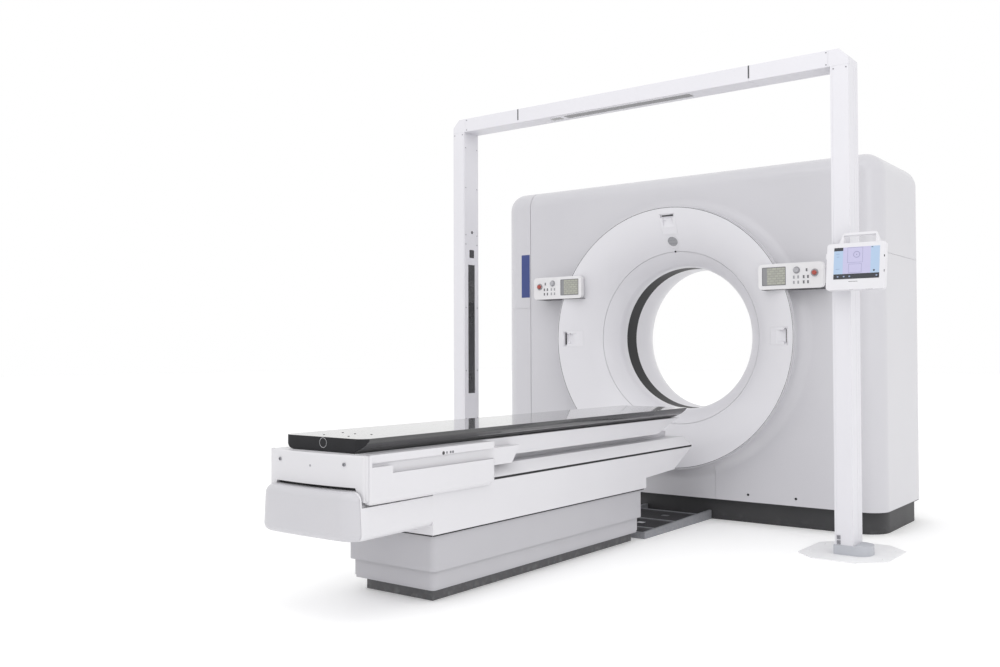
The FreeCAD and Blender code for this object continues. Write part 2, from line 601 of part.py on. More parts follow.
node("bearing_race", hoop(
    "race", "race_inner", "race_outer", "stator_front - race_depth", "stator_front"))
DRUM_BACK = "(drum_front + drum_thick)"
node("rotor_drum", at_bore(turned("drum_form", [
    ("drum_front", "drum_bore"),
    ("drum_front", "drum_radius"),
    (DRUM_BACK, "drum_radius"),
    (DRUM_BACK, "track_radius"),
    ("stator_front - track_clear", "track_radius"),
    ("stator_front - track_clear", "track_radius - track_wall"),
    (DRUM_BACK, "track_radius - track_wall"),
    (DRUM_BACK, "race_inner - running_gap"),
    ("stator_front", "race_inner - running_gap"),
    ("stator_front", "stator_bore"),
    (DRUM_BACK, "stator_bore"),
    (DRUM_BACK, "drum_bore"),
])))
node("slip_ring", hoop(
    "slip_band", "drum_radius + running_gap", "drum_radius + slip_ring_depth",
    "drum_front + cover_wall", f"{DRUM_BACK} - cover_wall"))
node("brush_block", block(
    "brush_box", ("-brush_half", "brush_half"), ("drum_front + cover_wall", "stator_front"),
    ("bore_height + drum_radius + slip_ring_depth + running_gap",
     "bore_height + stator_radius + brush_half / 2")))

node("motor_pulley", fuse(
    "pulley_solid",
    rod("pulley_rim", "y", "pulley_radius", "belt_start", "belt_start + belt_width + 2 * belt_thick",
        x=PULLEY_X, z=PULLEY_Z),
    rod("pulley_shaft", "y", "shaft_radius", "belt_start", STATOR_BACK, x=PULLEY_X, z=PULLEY_Z)))
node("drive_motor", rod(
    "motor_case", "y", "motor_radius", STATOR_BACK, f"{STATOR_BACK} + motor_length",
    x=PULLEY_X, z=PULLEY_Z))


def belt_face(extra):
    """The region that a belt round the drum's track and the motor pulley encloses."""
    large = number("track_radius + running_gap") + extra
    small = number("pulley_radius + running_gap") + extra
    reach = number("pulley_reach")
    wrap = math.acos((large - small) / reach)
    rims = []
    for centre, radius in ((0, large), (reach, small)):
        ends = [FreeCAD.Vector(centre + radius * math.cos(side * wrap), 0, radius * math.sin(side * wrap))
                for side in (1, -1)]
        far = FreeCAD.Vector(centre + (radius if centre else -radius), 0, 0)
        rims.append((ends, Part.Arc(ends[0], far, ends[1]).toShape()))
    straights = [Part.LineSegment(rims[0][0][side], rims[1][0][side]).toShape() for side in (0, 1)]
    return Part.Face(Part.Wire(Part.__sortEdges__([rims[0][1], rims[1][1], *straights])))


belt_loop = belt_face(number("belt_thick")).cut(belt_face(0))
drive_belt = doc.addObject("Part::Feature", "belt_loop")
drive_belt.Shape = belt_loop.extrude(FreeCAD.Vector(0, number("belt_width"), 0))
drive_belt.Placement = FreeCAD.Placement(
    FreeCAD.Vector(0, number("belt_start + belt_thick"), number("bore_height")),
    FreeCAD.Rotation(AXIS["y"], number("pulley_angle")))
node("drive_belt", drive_belt)

# ---------------------------------------------------------------- what turns with the rotor
node("xray_tube", at_bore(fuse(
    "tube_housing",
    rod("tube_can", "y", "tube_radius", "drum_front - tube_length", "drum_front", z="tube_centre"),
    block("tube_cooler", ("-2 * tube_radius", "-tube_radius / 2"),
          ("drum_front - tube_length / 2", "drum_front"),
          ("tube_centre - tube_radius / 2", "tube_centre + tube_radius / 2")))))
node("tube_collimator", at_bore(cut(
    "collimator_body",
    block("collimator_box", ("-collimator_half", "collimator_half"), ("-window_front", "drum_front"),
          ("drum_bore + running_gap", "tube_centre - tube_radius / 2")),
    rod("collimator_saddle", "y", "tube_radius + running_gap", "-2 * drum_front", "2 * drum_front",
        z="tube_centre"),
    block("collimator_under_cooler", ("-3 * tube_radius", "-tube_radius / 2 + running_gap"),
          ("-2 * drum_front", "2 * drum_front"),
          ("tube_centre - tube_radius / 2 - running_gap", "tube_centre + tube_radius")))))
node("detector_arc", at_bore(turned("detector_form", [
    ("-window_front", "-detector_inner"),
    ("drum_front", "-detector_inner"),
    ("drum_front", "-detector_outer"),
    ("-window_front", "-detector_outer"),
], "detector_angle")))
RACK_HEIGHT = ("bore_height - rack_half", "bore_height + rack_half")
node("generator", block(
    "generator_box", ("rack_inner", "rack_outer"), ("drum_front - generator_depth", "drum_front"),
    RACK_HEIGHT))
node("heat_exchanger", block(
    "exchanger_box", ("-rack_outer", "-rack_inner"), ("drum_front - exchanger_depth", "drum_front"),
    RACK_HEIGHT))

# ---------------------------------------------------------------- control panels on the ring
SIDES = (("right", ""), ("left", "-"))
panel_solid = fuse("panel_solid", *panel_box("panel", "0", "panel_front", "front_face - 2 * cover_wall"))
panel_bored = cut(
    "panel_bored", panel_solid,
    rod("knob_hole", "y", "spindle_radius + shaft_fit", "-2 * panel_front", "-panel_front + socket_depth",
        x="knob_across", z="knob_height"),
    rod("stem_hole", "y", "stem_radius + shaft_fit", "-2 * panel_front", "-panel_front + socket_depth",
        x="stop_across", z="stop_height"))
node("right_panel", panel_bored)
node("left_panel", mirrored("panel_twin", panel_bored))
for side, sign in SIDES:
    knob = turned(f"{side}_knob_form", [
        ("-knob_length - fit_gap", "0"),
        ("-knob_length - fit_gap", "knob_radius - knob_edge"),
        ("-knob_length - fit_gap + knob_edge", "knob_radius"),
        ("-fit_gap", "knob_radius"),
        ("-fit_gap", "spindle_radius"),
        ("socket_depth - knob_edge", "spindle_radius"),
        ("socket_depth - knob_edge", "0"),
    ])
    node(f"{side}_knob", move(knob, x=f"{sign}knob_across", y="-panel_front", z="knob_height"))
    button = turned(f"{side}_stop_form", [
        ("-stop_travel - stop_length", "0"),
        ("-stop_travel - stop_length", "stop_radius / 2"),
        ("-stop_travel - stop_length + knob_edge", "stop_radius - knob_edge / 2"),
        ("-stop_travel - stop_length / 2", "stop_radius"),
        ("-stop_travel - fit_gap", "stop_radius"),
        ("-stop_travel - fit_gap", "stem_radius"),
        ("socket_depth - stop_travel - fit_gap", "stem_radius"),
        ("socket_depth - stop_travel - fit_gap", "0"),
    ])
    node(f"{side}_stop_button", move(button, x=f"{sign}stop_across", y="-panel_front", z="stop_height"))

# ---------------------------------------------------------------- laser bridge
BRIDGE_BACK = "(bridge_front - post_depth)"
BRIDGE_MIDDLE = "(bridge_front - post_depth / 2)"
BRIDGE_DEPTH = ("-bridge_front", f"-{BRIDGE_BACK}")
BRIDGE_HOLLOW = ("-bridge_front + bridge_wall", f"-{BRIDGE_BACK} - bridge_wall")
SLOT_DEPTH = (f"-{BRIDGE_MIDDLE} - slot_width / 2", f"-{BRIDGE_MIDDLE} + slot_width / 2")
GLASS_DEPTH = (f"{SLOT_DEPTH[0]} + running_gap", f"{SLOT_DEPTH[1]} - running_gap")
LASER_DEPTH = (f"-{BRIDGE_MIDDLE} - laser_width / 2", f"-{BRIDGE_MIDDLE} + laser_width / 2")
POST_IN = "(post_across - post_width / 2)"
POST_OUT = "(post_across + post_width / 2)"
BEAM_LOW = "(bridge_top - beam_height)"
SLOT_MIDDLE = "(slot_low + slot_length / 2)"

post = cut(
    "post_extrusion",
    block("post_outside", (POST_IN, POST_OUT), BRIDGE_DEPTH, ("plate_thick", BEAM_LOW)),
    block("post_hollow", (f"{POST_IN} + bridge_wall", f"{POST_OUT} - bridge_wall"), BRIDGE_HOLLOW,
          ("0", "bridge_top")),
    block("post_slot", (f"{POST_IN} - bridge_wall", f"{POST_IN} + 2 * bridge_wall"), SLOT_DEPTH,
          ("slot_low", "slot_low + slot_length")))
node("right_post", post)
node("left_post", mirrored("post_twin", post))

node("bridge_beam", cut(
    "beam_extrusion",
    block("beam_outside", ("-beam_split", "beam_split"), BRIDGE_DEPTH, (BEAM_LOW, "bridge_top")),
    block("beam_hollow", ("-2 * beam_split", "2 * beam_split"), BRIDGE_HOLLOW,
          (f"{BEAM_LOW} + bridge_wall", "bridge_top - bridge_wall")),
    block("beam_slot", ("beam_slot_middle - slot_length / 2", "beam_slot_middle + slot_length / 2"),
          SLOT_DEPTH, (f"{BEAM_LOW} - bridge_wall", f"{BEAM_LOW} + 2 * bridge_wall"))))
arm = cut(
    "arm_extrusion",
    block("arm_outside", ("beam_split", "block_inner"), BRIDGE_DEPTH, (BEAM_LOW, "bridge_top")),
    block("arm_hollow", ("0", "2 * block_inner"), BRIDGE_HOLLOW,
          (f"{BEAM_LOW} + bridge_wall", "bridge_top - bridge_wall")))
node("beam_arms", group("arm_pair", arm, mirrored("arm_twin", arm)))
corner = prism("corner_casting", "y", [
    ("block_inner", BEAM_LOW),
    (POST_OUT, BEAM_LOW),
    (POST_OUT, "bridge_top - corner_chamfer"),
    (f"{POST_OUT} - corner_chamfer", "bridge_top"),
    ("block_inner", "bridge_top"),
], *BRIDGE_DEPTH)
node("corner_blocks", group("corner_pair", corner, mirrored("corner_twin", corner)))

collar_casting = cut(
    "collar_casting",
    block("collar_outside", (f"{POST_IN} - bridge_wall", "collar_outer"),
          ("-bridge_front - bridge_wall", f"-{BRIDGE_BACK} + bridge_wall"), ("plate_thick", "collar_high")),
    block("collar_socket", (f"{POST_IN} - running_gap", f"{POST_OUT} + running_gap"),
          ("-bridge_front - running_gap", f"-{BRIDGE_BACK} + running_gap"), ("0", "2 * collar_high")))
node("foot_collars", group("collar_pair", collar_casting, mirrored("collar_twin", collar_casting)))

PLATE_IN = "(post_across + plate_shift - plate_across / 2)"
PLATE_OUT = "(post_across + plate_shift + plate_across / 2)"
foot_plate_solid = prism("foot_plate_solid", "z", [
    (f"{PLATE_IN} + plate_corner", "-plate_front"),
    (f"{PLATE_OUT} - plate_corner", "-plate_front"),
    (PLATE_OUT, "-plate_front + plate_corner"),
    (PLATE_OUT, "-plate_back - plate_corner"),
    (f"{PLATE_OUT} - plate_corner", "-plate_back"),
    (f"{PLATE_IN} + plate_corner", "-plate_back"),
    (PLATE_IN, "-plate_back - plate_corner"),
    (PLATE_IN, "-plate_front + plate_corner"),
], "0", "plate_thick")
plate_bolts = [
    rod(f"anchor_{side}_{end}", "z", "anchor_radius", "-plate_thick", "2 * plate_thick", x=across, y=along)
    for side, across in (("in", f"{PLATE_IN} + bolt_inset"), ("out", f"{PLATE_OUT} - bolt_inset"))
    for end, along in (("front", "-plate_front + plate_corner + bolt_inset"),
                       ("back", "-plate_back - plate_corner - bolt_inset"))
]
foot_plate = cut("foot_plate", foot_plate_solid, *plate_bolts)
node("foot_plates", group("plate_pair", foot_plate, mirrored("plate_twin", foot_plate)))

post_glass = block(
    "post_glass", (f"{POST_IN} + glass_recess", f"{POST_IN} + glass_recess + glass_thick"), GLASS_DEPTH,
    ("slot_low + running_gap", "slot_low + slot_length - running_gap"))
beam_glass = block(
    "beam_glass",
    ("beam_slot_middle - slot_length / 2 + running_gap", "beam_slot_middle + slot_length / 2 - running_gap"),
    GLASS_DEPTH, (f"{BEAM_LOW} + glass_recess", f"{BEAM_LOW} + glass_recess + glass_thick"))
node("laser_windows", group(
    "glass_set", post_glass, mirrored("glass_twin", post_glass), beam_glass))
side_laser = block(
    "side_laser", (f"{POST_IN} + 2 * bridge_wall", f"{POST_OUT} - bridge_wall - running_gap"), LASER_DEPTH,
    (f"{SLOT_MIDDLE} - laser_length / 2", f"{SLOT_MIDDLE} + laser_length / 2"))
node("right_laser", side_laser)
node("left_laser", mirrored("laser_twin", side_laser))
node("top_laser", block(
    "top_laser_box", ("beam_slot_middle - laser_length / 2", "beam_slot_middle + laser_length / 2"),
    LASER_DEPTH, (f"{BEAM_LOW} + 2 * bridge_wall", "bridge_top - bridge_wall - running_gap")))

# ---------------------------------------------------------------- tablet on the right post
node("tablet_bracket", cut(
    "bracket_casting",
    fuse("bracket_solid",
         block("bracket_plate", (f"{POST_IN} + bridge_wall", f"{POST_OUT} - bridge_wall"),
               ("-bridge_front - bracket_plate_thick", "-bridge_front"),
               ("pivot_height - bracket_reach", "pivot_height + bracket_reach")),
         block("bracket_arm", ("pivot_across - barrel_half", "pivot_across + barrel_half"),
               ("-pivot_front", "-bridge_front"),
               ("pivot_height - barrel_radius", "pivot_height + barrel_radius")),
         rod("bracket_barrel", "x", "barrel_radius", "pivot_across - barrel_half",
             "pivot_across + barrel_half", y="-pivot_front", z="pivot_height")),
    rod("pin_hole", "x", "pin_radius + shaft_fit", "pivot_across - 2 * barrel_half",
        "pivot_across + 2 * barrel_half", y="-pivot_front", z="pivot_height")))

CASE_DEPTH = ("-case_front - case_thick", "-case_front")


def along_y(edge):
    return runs_along(edge, "y")


case_plate = rounded("case_plate", block(
    "case_box", ("case_left", "case_right"), CASE_DEPTH, ("case_low", "case_high")), "case_round", along_y)
case_handle = cut(
    "case_handle",
    prism("handle_form", "y", [
        ("handle_left", "case_high - case_round"),
        ("handle_right", "case_high - case_round"),
        ("handle_right", "case_high"),
        ("handle_right - handle_slope", "handle_top"),
        ("handle_left + handle_slope", "handle_top"),
        ("handle_left", "case_high"),
    ], "-case_front - case_thick + handle_inset", "-case_front - handle_inset"),
    block("handle_hole", ("handle_left + handle_slope", "handle_right - handle_slope"),
          ("-2 * case_front - case_thick", "0"), ("case_high", "handle_top - handle_bar")))
lugs = pair("lug", "barrel_half + running_gap", "barrel_half + lug_width",
            ("-case_front - lug_bite", "pin_radius + lug_rim"),
            ("-pin_radius - lug_rim", "pin_radius + lug_rim"))
tablet_pin = rod("tablet_pin", "x", "pin_radius", "-barrel_half - lug_width", "barrel_half + lug_width")
tablet_case = fuse("tablet_solid", case_plate, case_handle, *lugs, tablet_pin)
tablet_case.Placement = FreeCAD.Placement(
    FreeCAD.Vector(), FreeCAD.Rotation(AXIS["x"], -number("tablet_tilt")))
move(tablet_case, x="pivot_across", y="-pivot_front", z="pivot_height")
node("tablet_case", tablet_case)

# ---------------------------------------------------------------- table: fixed base and skirts
def sleeve_form(name, half, foot, head, upward, radius):
    """An upright box with rounded corners, symmetric about x = 0."""
    return rounded(f"{name}_round", block(name, (f"-({half})", half), (f"-({foot})", f"-({head})"), upward),
                   radius, upright)


node("table_plinth", block(
    "plinth_block", ("-plinth_half", "plinth_half"), ("-plinth_foot", "-plinth_head"), ("0", "plinth_top")))
node("lower_skirt", cut(
    "lower_shell",
    sleeve_form("lower_outside", "lower_half", "lower_foot", "lower_head", ("plinth_top", "lower_top"),
                "skirt_round"),
    sleeve_form("lower_inside", "lower_half - skirt_wall", "lower_foot - skirt_wall",
                "lower_head + skirt_wall", ("plinth_top + skirt_wall", "2 * lower_top"),
                "skirt_round - skirt_wall"),
    block("lower_opening", ("-plinth_half + skirt_round", "plinth_half - skirt_round"),
          ("-plinth_foot + skirt_round", "-plinth_head - skirt_round"), ("0", "lower_top"))))
middle_shell = cut(
    "middle_shell",
    sleeve_form("middle_outside", "middle_half", "middle_foot", "middle_head", ("middle_low", "middle_high"),
                "skirt_round"),
    sleeve_form("middle_inside", "middle_half - skirt_wall", "middle_foot - skirt_wall",
                "middle_head + skirt_wall", ("0", "2 * middle_high"), "skirt_round - skirt_wall"))
COLUMNS = ("column_foot", "column_head")
glides = [
    glide
    for place in COLUMNS
    for glide in pair(f"glide_{place}", "lower_half + running_gap", "middle_half - skirt_wall / 2",
                      (f"-{place} - piston_radius", f"-{place} + piston_radius"),
                      ("middle_low + skirt_round", "lower_top - skirt_round"))
]
node("middle_skirt", fuse("middle_solid", middle_shell, *glides))
node("lift_columns", group("column_pair", *[
    cut(f"tube_{place}",
        rod(f"tube_outside_{place}", "z", "column_radius", "plinth_top", "column_top", y=f"-{place}"),
        rod(f"tube_inside_{place}", "z", "piston_radius + shaft_fit", "0", "2 * column_top", y=f"-{place}"))
    for place in COLUMNS]))

# ---------------------------------------------------------------- table: what the lift carries
node("lift_pistons", group("piston_pair", *[
    rod(f"piston_{place}", "z", "piston_radius", "plinth_top + skirt_wall", "frame_low", y=f"-{place}")
    for place in COLUMNS]))
DECK_UNDER = "(deck_height - deck_thick)"
FRAME_BAR = "(piston_radius + skirt_round)"
FRAME_FOOT = "-column_foot - 3 * column_radius"
FRAME_HEAD = "-column_head + 3 * column_radius"
frame_bays = [
    block(f"frame_{name}_bay", ("-frame_half + frame_rail", "frame_half - frame_rail"), ends,
          ("0", "deck_height"))
    for name, ends in (
        ("foot", (f"{FRAME_FOOT} + frame_rail", f"-column_foot - {FRAME_BAR}")),
        ("middle", (f"-column_foot + {FRAME_BAR}", f"-column_head - {FRAME_BAR}")),
        ("head", (f"-column_head + {FRAME_BAR}", f"{FRAME_HEAD} - frame_rail")),
    )
]
node("lift_frame", cut(
    "frame_weldment",
    block("frame_outside", ("-frame_half", "frame_half"), (FRAME_FOOT, FRAME_HEAD),
          ("frame_low", DECK_UNDER)),
    *frame_bays))

body_section = prism("body_section", "y", [
    ("-body_half", "0"), ("body_half", "0"), ("body_half", "groove_high"), ("shoulder_half", "deck_height"),
    ("-shoulder_half", "deck_height"), ("-body_half", "groove_high"),
], "-body_foot", "0")
body_side = prism("body_side", "x", [
    ("-body_foot", "body_low"), ("-body_step", "body_low"), ("-body_step", "jaw_low"),
    ("-jaw_bend", "jaw_middle"), ("-body_head", "groove_low + skirt_wall"),
    ("-body_head - nose_slope", "deck_height"), ("-body_foot", "deck_height"),
], "-2 * body_half", "2 * body_half")
cavity_section = prism("cavity_section", "y", [
    ("-body_half + body_wall", "0"), ("body_half - body_wall", "0"),
    ("body_half - body_wall", "groove_high - skirt_wall"), ("shoulder_half - skirt_wall", DECK_UNDER),
    ("-shoulder_half + skirt_wall", DECK_UNDER), ("-body_half + body_wall", "groove_high - skirt_wall"),
], "-body_foot", "-body_head")
cavity_side = prism("cavity_side", "x", [
    ("-body_foot + body_wall", "0"), ("-body_step - body_wall", "0"),
    ("-body_step - body_wall", "jaw_low + body_wall"), ("-jaw_bend - body_wall", "jaw_middle + body_wall"),
    ("-body_head - 2 * nose_slope", DECK_UNDER), ("-body_foot + body_wall", DECK_UNDER),
], "-2 * body_half", "2 * body_half")
body_grooves = pair("groove", "body_half - groove_depth", "2 * body_half", ("-groove_foot", "0"),
                    ("groove_low", "groove_high"))
rails = pair("rail", "rail_inner", "rail_outer", ("-body_foot + rail_inset", "-body_head - rail_inset"),
             (f"{DECK_UNDER} + skirt_wall", "deck_height + rail_height"))
body_shell = cut("body_shell", common("body_form", body_section, body_side),
                 common("body_cavity", cavity_section, cavity_side), *body_grooves)
node("table_body", fuse("body_with_rails", body_shell, *rails))


def bowed(name, half, back_half, foot, back, bulge, upward):
    """A cover seen from above: straight sides and a foot end that bows outwards."""
    radius = f"((({half})^2 + ({bulge})^2) / (2 * ({bulge})))"
    return prism(name, "z", [
        (f"-({back_half})", f"-({back})"),
        (f"-({half})", f"-({foot})", f"-{radius}"),
        (half, f"-({foot})"),
        (back_half, f"-({back})"),
    ], *upward)


foot_outside = bowed("foot_outside", "foot_half", "body_half", "foot_front", "body_foot", "foot_bulge",
                     ("foot_low", "foot_high"))


def not_at_back(edge):
    return any(corner.Y < number("-body_foot - cut_clear") for corner in edge.Vertexes)


smooth(foot_outside, "foot_edges", "foot_round", not_at_back)
tray_rebates = pair("rebate", "side_half - tray_clear", "2 * foot_half", ("-tray_foot - tray_clear", "0"),
                    ("tray_low - tray_clear", "2 * foot_high"))
node("foot_cover", cut("foot_shell", foot_outside, bowed(
    "foot_inside", "foot_half - foot_wall - rebate_width", "body_half - foot_wall - rebate_width",
    "foot_front - foot_wall", "body_foot - foot_wall", "foot_bulge",
    ("foot_low + foot_wall", "foot_high - foot_wall")), *tray_rebates))

# ---------------------------------------------------------------- table: what slides
CARRIAGE_LOW = "(deck_height + rail_height)"
node("carriage", cut(
    "carriage_beam",
    prism("carriage_form", "x", [
        ("-cover_front + carriage_inset", CARRIAGE_LOW),
        ("-carriage_bend", CARRIAGE_LOW),
        ("-carriage_head", "top_low"),
        ("-cover_front + carriage_inset", "top_low"),
    ], "-carriage_half", "carriage_half"),
    block("carriage_hollow", ("-rail_inner + body_wall", "rail_inner - body_wall"),
          ("-cover_front + hollow_foot", "-carriage_bend - hollow_head"),
          ("0", "top_low - deck_thick"))))

cover_foot_part = bowed("cover_foot_part", "cover_half", "cover_half", "cover_front", "tray_head",
                        "cover_bulge", ("cover_lip", "cover_high"))
cover_tail = prism("cover_tail", "x", [
    ("-tray_head", "cover_low"), ("-tail_end - tail_slope", "cover_low"), ("-tail_end", "tail_high"),
    ("-tray_head", "tail_high"),
], "-side_half", "side_half")
node("carriage_cover", cut(
    "cover_shell",
    fuse("cover_solid", cover_foot_part, cover_tail),
    bowed("cover_inside", "side_half - cover_wall", "side_half - cover_wall", "cover_front - cover_wall",
          "0", "cover_bulge", ("0", "tail_high - cover_wall")),
    bowed("cover_inside_high", "side_half - cover_wall", "side_half - cover_wall",
          "cover_front - cover_wall", "tray_head + cover_wall", "cover_bulge",
          ("cover_low", "cover_high - cover_wall")),
    *pair("cover_seat", "side_half", "2 * cover_half", ("-tray_foot", "0"), ("0", "2 * cover_high")),
    block("cover_window", ("-carriage_half - running_gap", "carriage_half + running_gap"),
          ("-cover_front + carriage_inset - running_gap", "0"), ("0", "2 * cover_high")),
    block("cover_relief", ("-2 * cover_half", "2 * cover_half"), ("-cover_relief_foot", "0"),
          ("0", "cover_low"))))

tray_outside = rounded("tray_outside", block(
    "tray_block", ("side_half", "tray_outer"), ("-tray_foot", "-tray_head"), ("tray_low", "cover_high")),
    "tray_round",
    lambda edge: runs_along(edge, "y") and edge.BoundBox.XMin > number("side_half + tray_wall")
    and edge.BoundBox.ZMax < number("cover_low"))
TRAY_HOLLOW = ("side_half + tray_wall", "tray_outer - tray_wall")
tray = cut(
    "tray", tray_outside,
    block("tray_step", ("side_half + tray_wall", "2 * tray_outer"), ("-2 * tray_foot", "-pocket_foot"),
          ("tray_shelf", "2 * cover_high")),
    block("tray_lip", ("side_half + tray_wall", "2 * tray_outer"), ("-pocket_foot", "0"),
          ("pocket_lip", "2 * cover_high")),
    block("tray_pocket", TRAY_HOLLOW, ("-pocket_foot + tray_wall", "-pocket_head"),
          ("tray_low + pocket_floor", "2 * cover_high")),
    prism("tray_chin", "x", [
        ("-tray_head - chin_length", "tray_low"), ("-tray_head - chin_length", "tray_low - cut_clear"),
        ("-tray_head + cut_clear", "tray_low - cut_clear"),
        ("-tray_head + cut_clear", "tray_low + chin_rise"), ("-tray_head", "tray_low + chin_rise"),
    ], "0", "2 * tray_outer"))
node("side_trays", group("tray_pair", tray, mirrored("tray_twin", tray)))

tabletop_blank = prism("tabletop_blank", "y", [
    ("-top_half + top_taper", "top_low"), ("top_half - top_taper", "top_low"), ("top_half", "top_edge"),
    ("top_half", "top_high"), ("-top_half", "top_high"), ("-top_half", "top_edge"),
], "-top_foot", "-top_head")
node("tabletop", cut(
    "tabletop_panel", tabletop_blank,
    prism("tabletop_nose", "x", [
        ("-top_head - nose_reach", "top_low - cut_clear"), ("-top_head + cut_clear", "top_low - cut_clear"),
        ("-top_head + cut_clear", "top_high + cut_clear"), ("-top_head", "top_high"),
        ("-top_head - nose_reach", "top_low"),
    ], "-top_half - cut_clear", "top_half + cut_clear")))

# ---------------------------------------------------------------- foot pedals
BAYS = (("pedal_1", "pedal_front - rib_half", "rib_first"), ("pedal_2", "rib_first", "rib_second"),
        ("pedal_3", "rib_second", "rib_third"))
PIN_LEVEL = "(pedal_plate + pad_gap + pad_thick / 2)"
pedal_floor = block("pedal_floor", ("-pedal_half", "pedal_half"), ("-pedal_front", "-pedal_back"),
                    ("0", "pedal_plate"))
pedal_rims = [
    prism(f"pedal_rim_{side}", "x", [
        ("-pedal_front", "0"), ("-pedal_back", "0"), ("-pedal_back", "pedal_rim"),
        ("-pedal_front", "rim_low"),
    ], *ends)
    for side, ends in (("right", ("pedal_half - rim_width", "pedal_half")),
                       ("left", ("-pedal_half", "-pedal_half + rim_width")))
]
pedal_ribs = [
    block(f"rib_{place}", ("-pedal_half", "pedal_half"), (f"-{place} - rib_half", f"-{place} + rib_half"),
          ("0", "rim_low"))
    for place in ("rib_first", "rib_second", "rib_third")
]
pedal_nose = block("pedal_nose", ("-pedal_half", "pedal_half"), ("-pedal_front", "-pedal_front + rib_half"),
                   ("0", "rim_low"))
pin_bores = [
    rod(f"{name}_bore", "x", "pedal_pin + shaft_fit", "-pedal_half + rim_width / 2",
        "pedal_half - rim_width / 2", y=f"-({back}) - rib_half - pin_inset", z=PIN_LEVEL)
    for name, front, back in BAYS
]
node("pedal_base", cut(
    "pedal_tray", fuse("pedal_tray_solid", pedal_floor, *pedal_rims, *pedal_ribs, pedal_nose), *pin_bores))
for name, front, back in BAYS:
    pad = fuse(
        f"{name}_solid",
        block(f"{name}_pad", ("-pedal_half + rim_width + pad_clear", "pedal_half - rim_width - pad_clear"),
              (f"-({front}) + rib_half + pad_clear", f"-({back}) - rib_half - pad_clear"),
              ("pedal_plate + pad_gap", "pedal_plate + pad_gap + pad_thick")),
        rod(f"{name}_pin", "x", "pedal_pin", "-pedal_half + rim_width / 2 + fit_gap",
            "pedal_half - rim_width / 2 - fit_gap", y=f"-({back}) - rib_half - pin_inset", z=PIN_LEVEL))
    node(name, pad)

# ---------------------------------------------------------------- checks and files
doc.recompute()
for thing in doc.Objects:
    if "Invalid" in thing.State or "Error" in thing.State:
        raise RuntimeError(f"{thing.Label} failed: {thing.State}")
for thing in nodes:
    if thing.Shape.isNull() or not thing.Shape.isValid():
        raise RuntimeError(f"{thing.Label} has no valid shape")

os.makedirs("parts", exist_ok=True)
for thing in nodes:
    thing.Shape.exportStep(f"parts/{thing.Label}.step")
print(f"{len(nodes)} sub-parts written")
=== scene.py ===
import json
import math

import bmesh
import bpy
from mathutils import Matrix, Vector

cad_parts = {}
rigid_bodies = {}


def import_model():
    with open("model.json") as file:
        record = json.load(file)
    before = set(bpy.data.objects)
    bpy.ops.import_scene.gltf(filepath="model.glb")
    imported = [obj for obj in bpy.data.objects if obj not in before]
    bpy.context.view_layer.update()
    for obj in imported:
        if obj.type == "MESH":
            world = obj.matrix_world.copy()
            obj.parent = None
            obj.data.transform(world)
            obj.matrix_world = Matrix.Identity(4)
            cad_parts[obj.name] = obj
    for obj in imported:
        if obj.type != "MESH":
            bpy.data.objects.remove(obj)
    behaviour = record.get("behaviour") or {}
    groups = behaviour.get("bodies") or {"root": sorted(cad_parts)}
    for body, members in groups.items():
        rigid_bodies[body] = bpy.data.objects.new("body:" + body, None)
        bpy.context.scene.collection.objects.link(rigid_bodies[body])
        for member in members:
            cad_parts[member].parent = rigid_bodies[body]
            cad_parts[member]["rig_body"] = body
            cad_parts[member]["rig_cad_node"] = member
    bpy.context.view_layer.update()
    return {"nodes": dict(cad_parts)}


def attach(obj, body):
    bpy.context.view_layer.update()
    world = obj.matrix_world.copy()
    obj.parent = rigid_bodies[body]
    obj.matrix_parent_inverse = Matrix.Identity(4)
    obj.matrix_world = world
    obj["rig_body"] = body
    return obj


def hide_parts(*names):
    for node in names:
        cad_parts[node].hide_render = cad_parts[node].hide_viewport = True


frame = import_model()

# ------------------------------------------------------------
# Gantry base and plinth. The base is a welded steel frame that carries the gantry. The
# plinth round it is folded sheet steel with a dark textured powder coat, and shoes and
# mops have scuffed it near the floor.


def linear(code):
    """The linear colour of an sRGB hex code."""
    parts = [int(code[i:i + 2], 16) / 255 for i in (1, 3, 5)]
    return tuple(c / 12.92 if c <= 0.04045 else ((c + 0.055) / 1.055) ** 2.4 for c in parts) + (1.0,)


def add_node(tree, kind, settings=None, links=None):
    """Adds a shader node, sets its values and feeds its sockets."""
    node = tree.nodes.new(kind)
    for name, value in (settings or {}).items():
        if isinstance(name, int) or name in node.inputs:
            node.inputs[name].default_value = value
        else:
            setattr(node, name, value)
    for socket, source in (links or {}).items():
        tree.links.new(source, node.inputs[socket])
    return node


